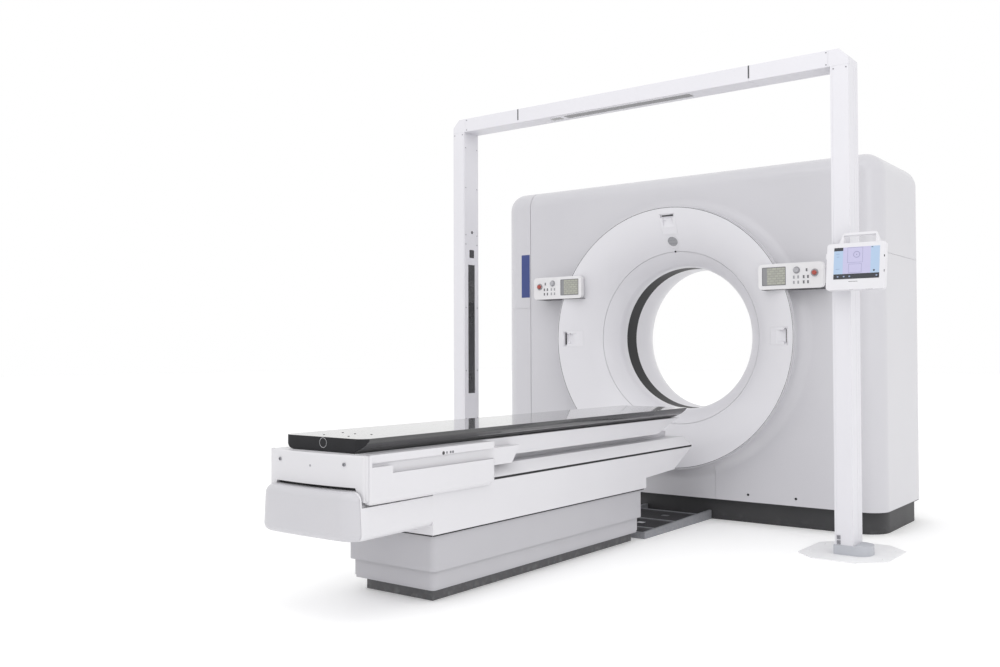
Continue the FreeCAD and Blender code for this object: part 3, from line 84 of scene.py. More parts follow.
def finish(name, light, dark, patch_mm, roughness, spread, grain_mm, depth_mm, values=None):
    """A surface whose tone and gloss drift over patches of one size, with a grain of another."""
    material = bpy.data.materials.new(name)
    material.use_nodes = True
    tree = material.node_tree
    shader = tree.nodes["Principled BSDF"]
    for socket, value in (values or {}).items():
        shader.inputs[socket].default_value = value
    place = add_node(tree, "ShaderNodeTexCoord").outputs["Object"]
    patches = add_node(tree, "ShaderNodeTexNoise", {"Scale": 1000 / patch_mm, "Detail": 3.0},
                       {"Vector": place}).outputs["Fac"]
    tone = add_node(tree, "ShaderNodeMix", {"data_type": "RGBA", 6: linear(light), 7: linear(dark)},
                    {0: patches})
    tone.name = "tone"
    gloss = add_node(tree, "ShaderNodeMapRange",
                     {"To Min": roughness - spread, "To Max": roughness + spread}, {"Value": patches})
    grain = add_node(tree, "ShaderNodeTexNoise", {"Scale": 1000 / grain_mm, "Detail": 2.0},
                     {"Vector": place})
    grain.name = "grain"
    lift = add_node(tree, "ShaderNodeBump", {"Strength": 1.0, "Distance": depth_mm / 1000},
                    {"Height": grain.outputs["Fac"]})
    tree.links.new(tone.outputs[2], shader.inputs["Base Color"])
    tree.links.new(gloss.outputs["Result"], shader.inputs["Roughness"])
    tree.links.new(lift.outputs["Normal"], shader.inputs["Normal"])
    return material


def scuff(material, dust, top_mm, streak_mm, amount):
    """Scuffs in the colour of floor dust, thickest at the floor and gone at a height."""
    tree = material.node_tree
    place = add_node(tree, "ShaderNodeTexCoord").outputs["Object"]
    height = add_node(tree, "ShaderNodeSeparateXYZ", {}, {"Vector": place}).outputs["Z"]
    low = add_node(tree, "ShaderNodeMapRange",
                   {"From Min": top_mm / 1000, "From Max": 0.0, "To Min": 0.0, "To Max": amount},
                   {"Value": height}).outputs["Result"]
    streaks = add_node(tree, "ShaderNodeTexNoise", {"Scale": 1000 / streak_mm, "Detail": 5.0},
                       {"Vector": place}).outputs["Fac"]
    torn = add_node(tree, "ShaderNodeMapRange", {"From Min": 0.48, "From Max": 0.68},
                    {"Value": streaks}).outputs["Result"]
    share = add_node(tree, "ShaderNodeMath", {"operation": "MULTIPLY"}, {0: low, 1: torn}).outputs[0]
    worn = add_node(tree, "ShaderNodeMix", {"data_type": "RGBA", 7: linear(dust)},
                    {0: share, 6: tree.nodes["tone"].outputs[2]})
    tree.links.new(worn.outputs[2], tree.nodes["Principled BSDF"].inputs["Base Color"])


def coat(material, *names):
    """Gives CAD nodes a material through their own material slots."""
    for name in names:
        for slot in frame["nodes"][name].material_slots:
            slot.material = material


# Powder-coated steel, textured and matt: a close pebble with a dull sheen at a low angle.
# Real pebbles are 0.4 mm, too fine to show, so they are drawn at 3 mm.
plinth_coat = finish("textured_powder_coat", "#3a3a3c", "#303032", 260, 0.56, 0.06, 3, 0.12)
scuff(plinth_coat, "#5c5c5e", 60, 38, 0.25)
coat(plinth_coat, "gantry_plinth")

# Welded steel under grey primer paint: even and satin, with soft runs.
primer = finish("primed_steel", "#7d8188", "#6c7078", 180, 0.48, 0.06, 6, 0.05)
coat(primer, "gantry_base", "lift_frame")

# ------------------------------------------------------------
# Stator and drive. A painted iron casting holds the ground bearing race, the brush block
# and the motor, whose toothless flat belt turns the drum. All of it is behind the covers.

# Sand-cast iron under grey paint: the sand's grain, 1 to 2 mm, shows through the coat.
casting = finish("painted_cast_iron", "#77797d", "#66686c", 120, 0.6, 0.06, 2, 0.25)
coat(casting, "stator_frame")

# Ground bearing steel: bright, with fine wheel marks and a film of oil.
ground_steel = finish("ground_steel", "#c4c5c8", "#b1b2b6", 90, 0.3, 0.07, 1.5, 0.02, {"Metallic": 1.0})
coat(ground_steel, "bearing_race", "motor_pulley", "tube_collimator", "lift_columns", "lift_pistons")

# Sheet steel housings in a light grey satin paint, with a slight orange peel of 3 mm.
housing_paint = finish("housing_paint", "#b6b8bc", "#a9abb0", 200, 0.42, 0.05, 3, 0.03)
coat(housing_paint, "drive_motor", "xray_tube", "generator")

# Neoprene belt: dull black with a woven-back print of about 2 mm and grey wear.
belt_rubber = finish("neoprene_belt", "#242425", "#343436", 35, 0.78, 0.06, 2, 0.15)
coat(belt_rubber, "drive_belt")

# ------------------------------------------------------------
# Rotor. An aluminium drum, turned on a lathe, carries the tube, collimator, detector,
# generator and heat exchanger. A slip ring of brass tracks round it takes the power.


# The height of the bore's axis in millimetres.
BORE_AXIS = 1049


def turned_marks(material, spacing_mm, depth_mm):
    """Lathe marks: rings about the bore's axis, at the real spacing or as fine as will show."""
    tree = material.node_tree
    place = add_node(tree, "ShaderNodeTexCoord").outputs["Object"]
    centred = add_node(tree, "ShaderNodeMapping", {"Location": (0.0, 0.0, -BORE_AXIS / 1000)},
                       {"Vector": place})
    rings = add_node(tree, "ShaderNodeTexWave",
                     {"wave_type": "RINGS", "rings_direction": "Y", "Scale": 1000 / spacing_mm / 20,
                      "Distortion": 0.4}, {"Vector": centred.outputs["Vector"]})
    lift = add_node(tree, "ShaderNodeBump", {"Distance": depth_mm / 1000},
                    {"Height": rings.outputs["Fac"]})
    tree.links.new(lift.outputs["Normal"], tree.nodes["Principled BSDF"].inputs["Normal"])


# Turned aluminium: pale grey metal with rings from the tool, 0.3 mm apart, drawn at 4 mm.
drum_alloy = finish("turned_aluminium", "#cfd0d3", "#bfc0c4", 150, 0.34, 0.06, 4, 0.02,
                    {"Metallic": 1.0})
turned_marks(drum_alloy, 4, 0.04)
coat(drum_alloy, "rotor_drum")

# Extruded aluminium fins: the drum's metal with the slightly rough skin of the die.
fin_alloy = finish("extruded_aluminium", "#c9cacc", "#b5b6b9", 60, 0.4, 0.08, 2, 0.04, {"Metallic": 1.0})
coat(fin_alloy, "heat_exchanger")

# Brass tracks, polished by the brushes: yellow metal with darker rings where carbon lies.
track_brass = finish("polished_brass", "#d8b878", "#a88a50", 45, 0.24, 0.08, 4, 0.02, {"Metallic": 1.0})
turned_marks(track_brass, 8, 0.05)
coat(track_brass, "slip_ring")

# Black moulded nylon housings: matt, with a spark-eroded grain of 0.5 mm drawn at 2 mm.
black_moulding = finish("moulded_nylon", "#2a2a2c", "#353538", 80, 0.55, 0.06, 2, 0.08)
coat(black_moulding, "detector_arc", "brush_block", "left_laser", "right_laser", "top_laser")

# ------------------------------------------------------------
# Gantry covers. Each is one thin shell moulded in polyurethane and sprayed with a satin
# white enamel. The front, the rear and the two sides meet in open joints, and shallow
# grooves divide them further. The shells hang on the frame inside.


def alone(obj):
    """Selects one object and nothing else."""
    bpy.ops.object.select_all(action="DESELECT")
    obj.select_set(True)
    bpy.context.view_layer.objects.active = obj


def open_up(obj, kind="FACE", action="DESELECT"):
    """Goes into edit mode on one object, with nothing or with everything selected."""
    alone(obj)
    bpy.ops.object.mode_set(mode="EDIT")
    bpy.ops.mesh.select_mode(type=kind)
    bpy.ops.mesh.select_all(action=action)


def choose(obj, test, kind="faces"):
    """Selects the faces, edges or vertices that pass a test, and says how many did."""
    shape = bmesh.from_edit_mesh(obj.data)
    count = 0
    for part in getattr(shape, kind):
        if test(part):
            part.select_set(True)
            count += 1
    bmesh.update_edit_mesh(obj.data)
    return count


def close_up():
    bpy.ops.object.mode_set(mode="OBJECT")


def working_copy(node, name):
    """A copy of a CAD node as one welded mesh, which can be cut and eased."""
    alone(frame["nodes"][node])
    bpy.ops.object.duplicate()
    obj = bpy.context.object
    bpy.ops.object.parent_clear(type="CLEAR_KEEP_TRANSFORM")
    obj.name = name
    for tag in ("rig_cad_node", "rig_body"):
        if tag in obj:
            del obj[tag]
    bpy.ops.mesh.customdata_custom_splitnormals_clear()
    open_up(obj, action="SELECT")
    bpy.ops.mesh.remove_doubles(threshold=1e-5)
    close_up()
    return obj


def cut(obj, place_mm, normal, **options):
    """Cuts a piece along a plane. Both sides stay, unless the options say otherwise."""
    open_up(obj, action="SELECT")
    bpy.ops.mesh.bisect(plane_co=Vector(place_mm) / 1000, plane_no=normal, **options)
    close_up()


def groove(obj, axis, place_mm, width_mm, depth_mm, skin):
    """A joint groove across a shell: two cuts, and the strip between them pressed inwards."""
    normal = Vector([float(axis == a) for a in "xyz"])
    index = "xyz".index(axis)
    for side in (-0.5, 0.5):
        cut(obj, normal * (place_mm + side * width_mm), normal)
    open_up(obj)
    centre, half = place_mm / 1000, width_mm / 2000
    if choose(obj, lambda f: all(abs(v.co[index] - centre) < half + 1e-5 for v in f.verts)
              and skin(f.calc_center_median() * 1000, f.normal)):
        bpy.ops.mesh.extrude_region_shrink_fatten(TRANSFORM_OT_shrink_fatten={"value": -depth_mm / 1000})
    close_up()


def smooth(obj, degrees=32):
    """Shades curves smooth and edges sharp, with flat faces kept flat."""
    alone(obj)
    bpy.ops.object.shade_smooth_by_angle(angle=math.radians(degrees))
    bpy.ops.object.modifier_add(type="WEIGHTED_NORMAL")
    obj.modifiers[-1].keep_sharp = True
    bpy.ops.object.modifier_apply(modifier=obj.modifiers[-1].name)


def wear(obj, *materials):
    """Puts materials on a piece in place of what it had."""
    obj.data.materials.clear()
    for material in materials:
        obj.data.materials.append(material)


def take_over(obj, node, material, degrees=32):
    """Finishes a piece that stands in for a CAD node: shading, material and body."""
    if material:
        wear(obj, material)
    smooth(obj, degrees)
    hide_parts(node)
    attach(obj, frame["nodes"][node]["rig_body"])


# Satin enamel on moulded polyurethane: a cool white, broad soft reflections, and an orange
# peel of about 1.5 mm that is too fine to show, so it is drawn at 5 mm and very shallow.
enamel_gloss = {"Coat Weight": 0.25, "Coat Roughness": 0.22}
cover_enamel = finish("satin_enamel", "#cdccd0", "#c7c6cb", 700, 0.33, 0.03, 5, 0.012, enamel_gloss)
# The ring, the funnel and the rear lining wear a lighter copy of the same enamel: painted light for the
# brightly lit ring.
ring_enamel_painted_light = finish("ring_enamel_painted_light", "#dfdee2", "#d9d8dd", 700, 0.33, 0.03, 5, 0.012, enamel_gloss)
coat(ring_enamel_painted_light, "ring_cover", "funnel_cover", "rear_bore_cover")

front = working_copy("front_cover", "front_cover_shell")
for across in (-255, 255):
    groove(front, "x", across, 3, 2.5, lambda c, n: n.y < -0.5 and c.y < -200 and c.z < 340)
take_over(front, "front_cover", cover_enamel)

# One groove crosses each side cover, lower on the left.
for side, node, seam in ((-1, "left_side_cover", 1255), (1, "right_side_cover", 1485)):
    shell = working_copy(node, node + "_shell")
    inside = Vector((side * 1110, 150, 0))
    groove(shell, "z", seam, 3, 2.5,
           lambda c, n: abs(n.z) < 0.5 and n.dot(Vector((c.x, c.y, 0)) - inside) > 0
           and side * n.x > -0.5)
    take_over(shell, node, cover_enamel)

# ------------------------------------------------------------
# Rear cover. The same moulding as the front. Two grooves part the service doors from the
# middle, and slots near the floor and near the top let the cooling air through.


def settle():
    """Makes the selected piece's place, turn and size part of its mesh."""
    bpy.ops.object.transform_apply(location=True, rotation=True, scale=True)


def block(name, corner, opposite):
    """A box between two opposite corners in millimetres, ready to be shaped."""
    corner, opposite = Vector(corner) / 1000, Vector(opposite) / 1000
    bpy.ops.mesh.primitive_cube_add(size=1, location=(corner + opposite) / 2)
    obj = bpy.context.object
    obj.scale = [abs(length) for length in opposite - corner]
    settle()
    obj.name = name
    return obj


def round_edges(obj, width_mm, steps, test=lambda e: True):
    """Rounds the edges that pass a test."""
    open_up(obj, "EDGE")
    if choose(obj, test, "edges"):
        bpy.ops.mesh.bevel(offset=width_mm / 1000, segments=steps, affect="EDGES")
    close_up()


def slab(name, corner, opposite, width_mm, steps, test=lambda e: True):
    """A block with its edges rounded, all of them or those that pass a test."""
    obj = block(name, corner, opposite)
    round_edges(obj, width_mm, steps, test)
    return obj


def along(axis):
    """A test for the edges that run along one axis."""
    index = "xyz".index(axis)

    def runs(edge):
        a, b = (v.co for v in edge.verts)
        return abs((a - b)[index]) > 0.999 * (a - b).length
    return runs


def copy_to(obj, offset_mm):
    """A copy with its own mesh, moved by an offset in millimetres."""
    alone(obj)
    bpy.ops.object.duplicate()
    bpy.ops.transform.translate(value=Vector(offset_mm) / 1000)
    settle()
    return bpy.context.object


def join(name, pieces):
    """One object of several."""
    alone(pieces[0])
    for piece in pieces:
        piece.select_set(True)
    bpy.ops.object.join()
    pieces[0].name = name
    return pieces[0]


def carve(obj, tool):
    """Cuts a tool's shape out of a piece."""
    alone(obj)
    bpy.ops.object.modifier_add(type="BOOLEAN")
    cutter = obj.modifiers[-1]
    cutter.operation, cutter.object, cutter.solver = "DIFFERENCE", tool, "EXACT"
    bpy.ops.object.modifier_apply(modifier=cutter.name)
    bpy.data.objects.remove(tool)


# The depth of the rear cover's outer skin.
REAR_SKIN = 540
rear = working_copy("rear_cover", "rear_cover_shell")
slots = []
for across in (-870, 870):
    for level in (180, 1790):
        slot = slab("air_slot", (across - 85, REAR_SKIN - 4, level),
                    (across + 85, REAR_SKIN + 5, level + 7), 3.4, 3, along("y"))
        slots += [slot] + [copy_to(slot, (0, 0, step * 15)) for step in range(1, 9)]
carve(rear, join("air_slots", slots))
for across in (-715, 715):
    groove(rear, "x", across, 3, 2.5, lambda c, n: n.y > 0.5 and c.y > REAR_SKIN - 10)
take_over(rear, "rear_cover", cover_enamel)

# ------------------------------------------------------------
# Cover screws. Button-head screws of blackened steel, 14 mm across, with a driving socket,
# hold the lower edge of the front cover and the doors at the back.


def press(obj, test, rim_mm, step_mm):
    """Moves the faces that pass a test by a step, with or without a rim left round them."""
    open_up(obj)
    choose(obj, test)
    if rim_mm:
        bpy.ops.mesh.inset(thickness=rim_mm / 1000)
    bpy.ops.mesh.extrude_region_move(TRANSFORM_OT_translate={"value": tuple(Vector(step_mm) / 1000)})
    close_up()


def puck(name, radius_mm, thick_mm, vertices, **place):
    """A low cylinder, ready to be shaped."""
    bpy.ops.mesh.primitive_cylinder_add(vertices=vertices, radius=radius_mm / 1000,
                                        depth=thick_mm / 1000, **place)
    settle()
    bpy.context.object.name = name
    return bpy.context.object


def put(obj, matrix):
    """Moves a piece made at the origin to where it belongs."""
    alone(obj)
    obj.matrix_world = matrix
    settle()
    return obj


def set_down(obj, centre_mm, facing):
    """Puts a piece made at the origin at a centre, with its top facing one way."""
    turn = Vector(facing).to_track_quat("Z", "Y").to_matrix().to_4x4()
    return put(obj, Matrix.Translation(Vector(centre_mm) / 1000) @ turn)


def button_screw(name, centre_mm, radius_mm, facing):
    """A screw head: a low cylinder, its rim rounded and a socket pressed into it."""
    obj = puck(name, radius_mm, radius_mm * 0.5, 24)
    press(obj, lambda f: f.normal.z > 0.9, radius_mm * 0.5, (0, 0, -radius_mm * 0.3))
    round_edges(obj, radius_mm * 0.2, 2,
                lambda e: all(v.co.z > 0 and v.co.xy.length > radius_mm * 0.9e-3 for v in e.verts))
    return set_down(obj, centre_mm, facing)


def fit(obj, material, body, degrees=32):
    """Finishes a piece: shading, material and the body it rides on."""
    if material:
        wear(obj, material)
    smooth(obj, degrees)
    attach(obj, body)


# Blackened steel: dark grey metal with a dry, slightly uneven oxide.
black_oxide = finish("black_oxide_steel", "#3a3a3d", "#2a2a2c", 8, 0.42, 0.08, 1, 0.02,
                     {"Metallic": 0.7})
# The depth of the front and side covers' outer skin.
FRONT_SKIN = -240
screw = button_screw("cover_screw", (450, FRONT_SKIN - 0.5, 160), 7, (0, -1, 0))
front_screws = [screw] + [copy_to(screw, (across - 450, 0, 0)) for across in (-725, -450, 725)]
fit(join("front_cover_screws", front_screws), black_oxide, "installation")
screw = button_screw("door_screw", (745, REAR_SKIN - 1.8, 300), 7, (0, 1, 0))
door_screws = [screw] + [copy_to(screw, (x - 745, 0, z - 300))
                         for x, z in ((-745, 300), (745, 1690), (-745, 1690), (1010, 300), (-1010, 300),
                                      (1010, 1690), (-1010, 1690))]
fit(join("rear_door_screws", door_screws), black_oxide, "installation")

# ------------------------------------------------------------
# Colour strip. A strip of dark blue vinyl, 0.4 mm thick, stuck on the left side cover
# beside its joint with the front cover.

# Printed vinyl: flat blue under a satin film, with a slightly lighter drift in the print.
blue_vinyl = finish("printed_vinyl", "#3a4a86", "#334079", 60, 0.3, 0.04, 4, 0.01)
strip = slab("colour_strip", (-1118, FRONT_SKIN - 0.4, 1325), (-1052, FRONT_SKIN + 1, 1606),
             3, 3, along("y"))
fit(strip, blue_vinyl, "installation")

# ------------------------------------------------------------
# Bore. The funnel leads to the scan window, a dark band of polycarbonate that X-rays pass.
# A status lens sits at the top, on the joint of the ring and the funnel.

# Dark polycarbonate: a smooth band, near black, with a dull wide reflection.
scan_film = finish("dark_polycarbonate", "#232326", "#1d1d20", 220, 0.5, 0.06, 4, 0.01,
                   {"Specular IOR Level": 0.25})
coat(scan_film, "scan_window")

# Clear acrylic over black: glossy and near black.
black_lens = finish("black_acrylic", "#1e1e21", "#262629", 12, 0.12, 0.03, 2, 0.005,
                    {"Coat Weight": 0.6, "Coat Roughness": 0.05})
lens = button_screw("status_lens", (-4, -216, 1560), 6, (0, -0.75, -0.66))
fit(lens, black_lens, "installation")

# The ring and the front cover meet in a joint 3 mm wide, closed by a cord of grey rubber.
gasket_and_shade_rubber = finish("grey_rubber", "#5c5c60", "#515155", 20, 0.7, 0.05, 2, 0.03)


def hoop(name, radius_mm, thick_mm, centre_mm, rounds, sides):
    """A thin ring that faces the table's foot, ready to be flattened."""
    bpy.ops.mesh.primitive_torus_add(major_segments=rounds, minor_segments=sides,
                                     major_radius=radius_mm / 1000, minor_radius=thick_mm / 1000,
                                     location=Vector(centre_mm) / 1000, rotation=(math.radians(90), 0, 0))
    settle()
    bpy.context.object.name = name
    return bpy.context.object


def squash(obj, test, scale, centre_mm=(0, 0, 0)):
    """Scales the vertices that pass a test about a point."""
    open_up(obj, "VERT")
    choose(obj, test, "verts")
    bpy.ops.transform.resize(value=scale, center_override=Vector(centre_mm) / 1000)
    close_up()


cord = hoop("ring_seal", 758.5, 1.7, (0, -346.3, BORE_AXIS), 128, 8)
squash(cord, lambda v: v.co.y > -0.3460, (1, 0.1, 1), (0, -346, 0))
fit(cord, gasket_and_shade_rubber, "installation", 60)

# ------------------------------------------------------------
# Laser apertures and intercom. Three recesses moulded into the ring, at the sides and at
# the top, each end in a narrow dark slit. Under the top one is the loudspeaker's disc of
# pierced steel.

# The recesses are moulded in the cover's own plastic, more matt, and painted a little lighter: painted
# light for the scoops' bright floors.
recess_plastic_painted_light = finish("recess_moulding_painted_light", "#e2e1e5", "#dcdbe0", 300, 0.42, 0.03, 4, 0.02)
aperture = working_copy("laser_apertures", "laser_aperture_scoop")
open_up(aperture)
choose(aperture, lambda f: f.calc_center_median().x > -0.55)
bpy.ops.mesh.delete(type="FACE")
close_up()
carve(aperture, slab("scoop", (-709, -400, 1014), (-640, -306.4, 1084), 28, 8,
                     lambda e: all(v.co.y > -0.307 for v in e.verts) and not along("z")(e)))
carve(aperture, block("slit_floor", (-717, -400, 1012), (-708.5, -319.3, 1086)))
slit = slab("slit", (-716.8, -324.5, 1013), (-709.5, -309.5, 1085), 1.5, 2)
recesses, slits = [], []
axis = Matrix.Translation((0, 0, BORE_AXIS / 1000))
for degrees in (0, 90, 180):
    turn = axis @ Matrix.Rotation(math.radians(degrees), 4, "Y") @ axis.inverted()
    for part, made in ((aperture, recesses), (slit, slits)):
        made.append(put(copy_to(part, (0, 0, 0)), turn))
for part in (aperture, slit):
    bpy.data.objects.remove(part)
scoops = join("laser_aperture_scoops", recesses)
take_over(scoops, "laser_apertures", recess_plastic_painted_light, 40)
fit(join("aperture_slits", slits), black_lens, "installation")

# Pierced steel in grey paint: holes of 2 mm in rows, drawn 5 mm apart so that they show.
pierced_steel = finish("pierced_steel", "#a5a5a9", "#9a9a9f", 30, 0.5, 0.05, 3, 0.02)
tree = pierced_steel.node_tree
place = add_node(tree, "ShaderNodeTexCoord").outputs["Object"]
holes = add_node(tree, "ShaderNodeTexVoronoi", {"Scale": 200.0, "Randomness": 0.0}, {"Vector": place})
pierced = add_node(tree, "ShaderNodeMapRange", {"From Min": 0.28, "From Max": 0.4},
                   {"Value": holes.outputs["Distance"]})
# The holes are painted a darker grey: painted shade for the dark behind them.
dark = add_node(tree, "ShaderNodeMix", {"data_type": "RGBA", 6: linear("#6a6a6e")},
                {0: pierced.outputs["Result"], 7: tree.nodes["tone"].outputs[2]})
tree.links.new(dark.outputs[2], tree.nodes["Principled BSDF"].inputs["Base Color"])
coat(ring_enamel_painted_light, "intercom_grille")
disc = puck("intercom_disc", 30.5, 4, 48)
press(disc, lambda f: f.normal.z > 0.9, 2, (0, 0, -0.8))
set_down(disc, (0, -257.2, 1617.2), (0, -0.82, -0.58))
fit(disc, pierced_steel, "installation")

# ------------------------------------------------------------
# Control panels. A flat box of white ABS on each side of the ring carries a screen, keys
# under a membrane, a dial and a stop button. The right panel mirrors the left, except for
# the idle margin of its screen.

# Moulded ABS: a warmer white than the covers, satin, with a fine spark grain.
panel_abs = finish("moulded_abs", "#e4e3e5", "#dddcde", 160, 0.38, 0.04, 2, 0.02)
# A backlit liquid crystal: grey-green, with rows of paler bars like a read-out.
screen_gloss = {"Coat Weight": 0.5, "Coat Roughness": 0.1}
crystal = finish("backlit_crystal", "#a3a49c", "#999a94", 40, 0.25, 0.03, 4, 0.005, screen_gloss)
# The screen's idle margin: the same glass, plain grey.
off_crystal = finish("dark_crystal", "#8d8d90", "#848488", 30, 0.25, 0.03, 3, 0.005, screen_gloss)
tree = crystal.node_tree
place = add_node(tree, "ShaderNodeTexCoord").outputs["Object"]
stood_up = add_node(tree, "ShaderNodeMapping", {"Rotation": (math.radians(90), 0.0, 0.0)},
                    {"Vector": place})
rows = add_node(tree, "ShaderNodeTexBrick",
                {"Scale": 1.0, "Brick Width": 0.026, "Row Height": 0.013, "Mortar Size": 0.0022,
                 "Color1": linear("#b3b4a4"), "Color2": linear("#a0a198"), "Mortar": linear("#8f8f89")},
                {"Vector": stood_up.outputs["Vector"]})
shown = add_node(tree, "ShaderNodeMix", {"data_type": "RGBA", 0: 0.65},
                 {6: tree.nodes["tone"].outputs[2], 7: rows.outputs["Color"]})
tree.links.new(shown.outputs[2], tree.nodes["Principled BSDF"].inputs["Base Color"])
# Inks under the membrane: slightly uneven, dark grey for the outer keys, pale for the rest.
key_ink = finish("grey_ink", "#6b6b70", "#5f5f64", 10, 0.5, 0.04, 2, 0.005)
pale_ink = finish("pale_ink", "#a6a6aa", "#9c9ca1", 10, 0.5, 0.04, 2, 0.005)
# Grey ABS of the dial: matt, rubbed a little by fingers.
dial_abs = finish("grey_abs", "#b3b3b7", "#a8a8ad", 12, 0.45, 0.05, 1, 0.02)
# Red moulded nylon: a deep brick red, polished by fingers.
stop_nylon = finish("red_nylon", "#b3544a", "#a0483f", 14, 0.36, 0.06, 1, 0.01)

coat(panel_abs, "left_panel", "right_panel")
coat(dial_abs, "left_knob", "right_knob")
for side, hand in ((-1, "left"), (1, "right")):
    button = working_copy(hand + "_stop_button", hand + "_stop_cap")
    squash(button, lambda v: True, (0.72, 1, 0.72), (side * 885, 0, 1380))
    take_over(button, hand + "_stop_button", stop_nylon)

# The panels' front face, and the line that parts the screen's read-out from its idle margin.
PANEL_FACE = -364
MARGIN_LINE = {-1: -702, 1: 622}
for side, hand in ((-1, "left"), (1, "right")):
    # A strip of grey rubber under each panel's lower edge: painted shade for the shadow under the panel.
    shade_strip = slab(hand + "_panel_shade_strip", (side * 585, -352, 1298.5), (side * 919, -238, 1301), 1, 2)
    fit(shade_strip, gasket_and_shade_rubber, "installation")
    screen = slab(hand + "_panel_screen", (side * 595, PANEL_FACE - 1.2, 1321),
                  (side * 727, PANEL_FACE + 1, 1420), 3, 3, along("y"))
    press(screen, lambda f: f.normal.y < -0.9, 3, (0, 0.9, 0))
    cut(screen, (MARGIN_LINE[side], 0, 0), (1, 0, 0))
    wear(screen, key_ink, crystal, off_crystal)
    for face in screen.data.polygons:
        if face.normal.y < -0.9 and face.area > 0.0015:
            face.material_index = 1 if face.center.x * 1000 > MARGIN_LINE[side] else 2
    fit(screen, None, "installation")

    keys = []
    spots = [(side * a, z) for z in (1361, 1333) for a in (772, 796, 826, 849)] + [(side * 842, 1397)]
    for across, level in spots:
        key = slab("key", (across - 8, PANEL_FACE - 1, level - 8),
                   (across + 8, PANEL_FACE + 1, level + 8), 3, 3, along("y"))
        press(key, lambda f: f.normal.y < -0.9, 3.6, (0, -0.5, 0))
        wear(key, panel_abs, key_ink if abs(across) > 810 else pale_ink)
        for face in key.data.polygons:
            face.material_index = int(face.normal.y < -0.9 and face.area < 0.00015
                                      and abs(face.center.x - across / 1000) < 0.004)
        keys.append(key)
    fit(join(hand + "_panel_keys", keys), None, "installation")

    for name, across, level, outer, inner in (
            ("dial_plate", 787, 1398, 19, 16), ("stop_plate", 885, 1380, 21, 14.5)):
        plate = puck(hand + "_" + name, outer, 2.4, 48, rotation=(math.radians(90), 0, 0),
                     location=Vector((side * across, PANEL_FACE, level)) / 1000)
        press(plate, lambda f: f.normal.y < -0.9, outer - inner, (0, 1, 0))
        fit(plate, pale_ink, "installation")

# ------------------------------------------------------------
# Bridge posts and beam. Aluminium extrusions under a satin white powder coat, with grooves
# left by the profile. The beam is in three lengths, bolted through corner blocks.


def flatten(obj):
    """Joins the triangles of a CAD mesh back into its flat faces."""
    open_up(obj, action="SELECT")
    bpy.ops.mesh.dissolve_limited(angle_limit=math.radians(0.5))
    close_up()


def ease(obj, width_mm):
    """Rounds every sharp edge of a working copy by a hair, as a real edge is."""
    flatten(obj)
    bpy.ops.object.modifier_add(type="BEVEL")
    bevel = obj.modifiers[-1]
    bevel.width, bevel.segments, bevel.limit_method = width_mm / 1000, 2, "ANGLE"
    bevel.angle_limit, bevel.use_clamp_overlap = math.radians(25), True
    bpy.ops.object.modifier_apply(modifier=bevel.name)


# Satin powder coat on aluminium: cool white, finely pebbled at 0.6 mm, drawn at 3 mm.
post_coat = finish("satin_powder_coat", "#dddce1", "#d6d5da", 500, 0.4, 0.04, 3, 0.02)
# The places of the posts' front, back and inner faces.
POST_FRONT, POST_BACK, POST_INNER = -819, -683, 1130
for side, hand in ((-1, "left"), (1, "right")):
    post = working_copy(hand + "_post", hand + "_post_profile")
    for depth in (-745, -715):
        groove(post, "y", depth, 2.5, 1.5, lambda c, n: side * n.x > 0.9 and side * c.x > 1215)
    groove(post, "x", side * 1140, 1.5, 1.2, lambda c, n: abs(n.y) > 0.9
           and not POST_FRONT + 2 < c.y < POST_BACK - 2)
    ease(post, 1.5)
    take_over(post, hand + "_post", post_coat)
for node in ("bridge_beam", "beam_arms", "corner_blocks"):
    length = working_copy(node, node + "_profile")
    ease(length, 1.5)
    take_over(length, node, post_coat)

# Gaskets of grey rubber close the beam's two joints, over the front and the back.
gaskets = [slab("gasket", (across - 4, face, 2338), (across + 4, face + 1, 2403), 0.4, 2)
           for across in (-720, 720) for face in (POST_FRONT - 0.6, POST_BACK - 0.4)]
fit(join("beam_gaskets", gaskets), gasket_and_shade_rubber, "installation")

# ------------------------------------------------------------
# Bridge screws. Zinc-plated screws, 7 mm across the head, hold the corner blocks and the
# long service lids on the posts' inner faces.

# Zinc plate: a bright grey, a little dulled.
zinc = finish("zinc_plate", "#9b9ba0", "#86868b", 8, 0.38, 0.06, 1, 0.01, {"Metallic": 0.9})
screws = []
for side in (-1, 1):
    for across, level in ((1112, 2394), (1112, 2335), (1146, 2310), (1206, 2310)):
        for depth, facing in ((POST_FRONT - 0.3, -1), (POST_BACK + 0.3, 1)):
            screws.append(button_screw("post_screw", (side * across, depth, level), 3.5, (0, facing, 0)))
    for level in (2230, 1983, 1692, 1634, 1242, 854, 560, 250):
        for depth in (-805, -697):
            screws.append(button_screw("lid_screw", (side * (POST_INNER + 0.2), depth, level), 3.5,
                                       (-side, 0, 0)))
fit(join("bridge_screws", screws), zinc, "installation")

# ------------------------------------------------------------
# Laser windows. Long panes of smoked acrylic in the posts and under the beam, with a small
# pane near each and a sensor on each post. The line lasers run behind the long panes.

# Smoked acrylic: black at first sight, glossy, with a hair of dust.
smoked_acrylic = finish("smoked_acrylic", "#2c2c2e", "#353537", 60, 0.14, 0.05, 3, 0.004,
                        {"Coat Weight": 0.5, "Coat Roughness": 0.08})
coat(smoked_acrylic, "laser_windows")
panes = []
for side in (-1, 1):
    panes.append(slab("small_pane", (side * (POST_INNER + 0.1), -771, 1551),
                      (side * (POST_INNER + 2), -726, 1601), 5, 3, along("x")))
    panes.append(button_screw("sensor", (side * (POST_INNER + 0.2), -746, 1710), 9, (-side, 0, 0)))
panes.append(slab("beam_pane", (-523, -771, 2323.6), (-453, -726, 2326), 5, 3, along("z")))
fit(join("small_panes", panes), smoked_acrylic, "installation")

# ------------------------------------------------------------
# Bridge feet. Each post stands in a clamping collar of painted steel on a thin white floor
# plate, and two steel clips hold the post above its collar.

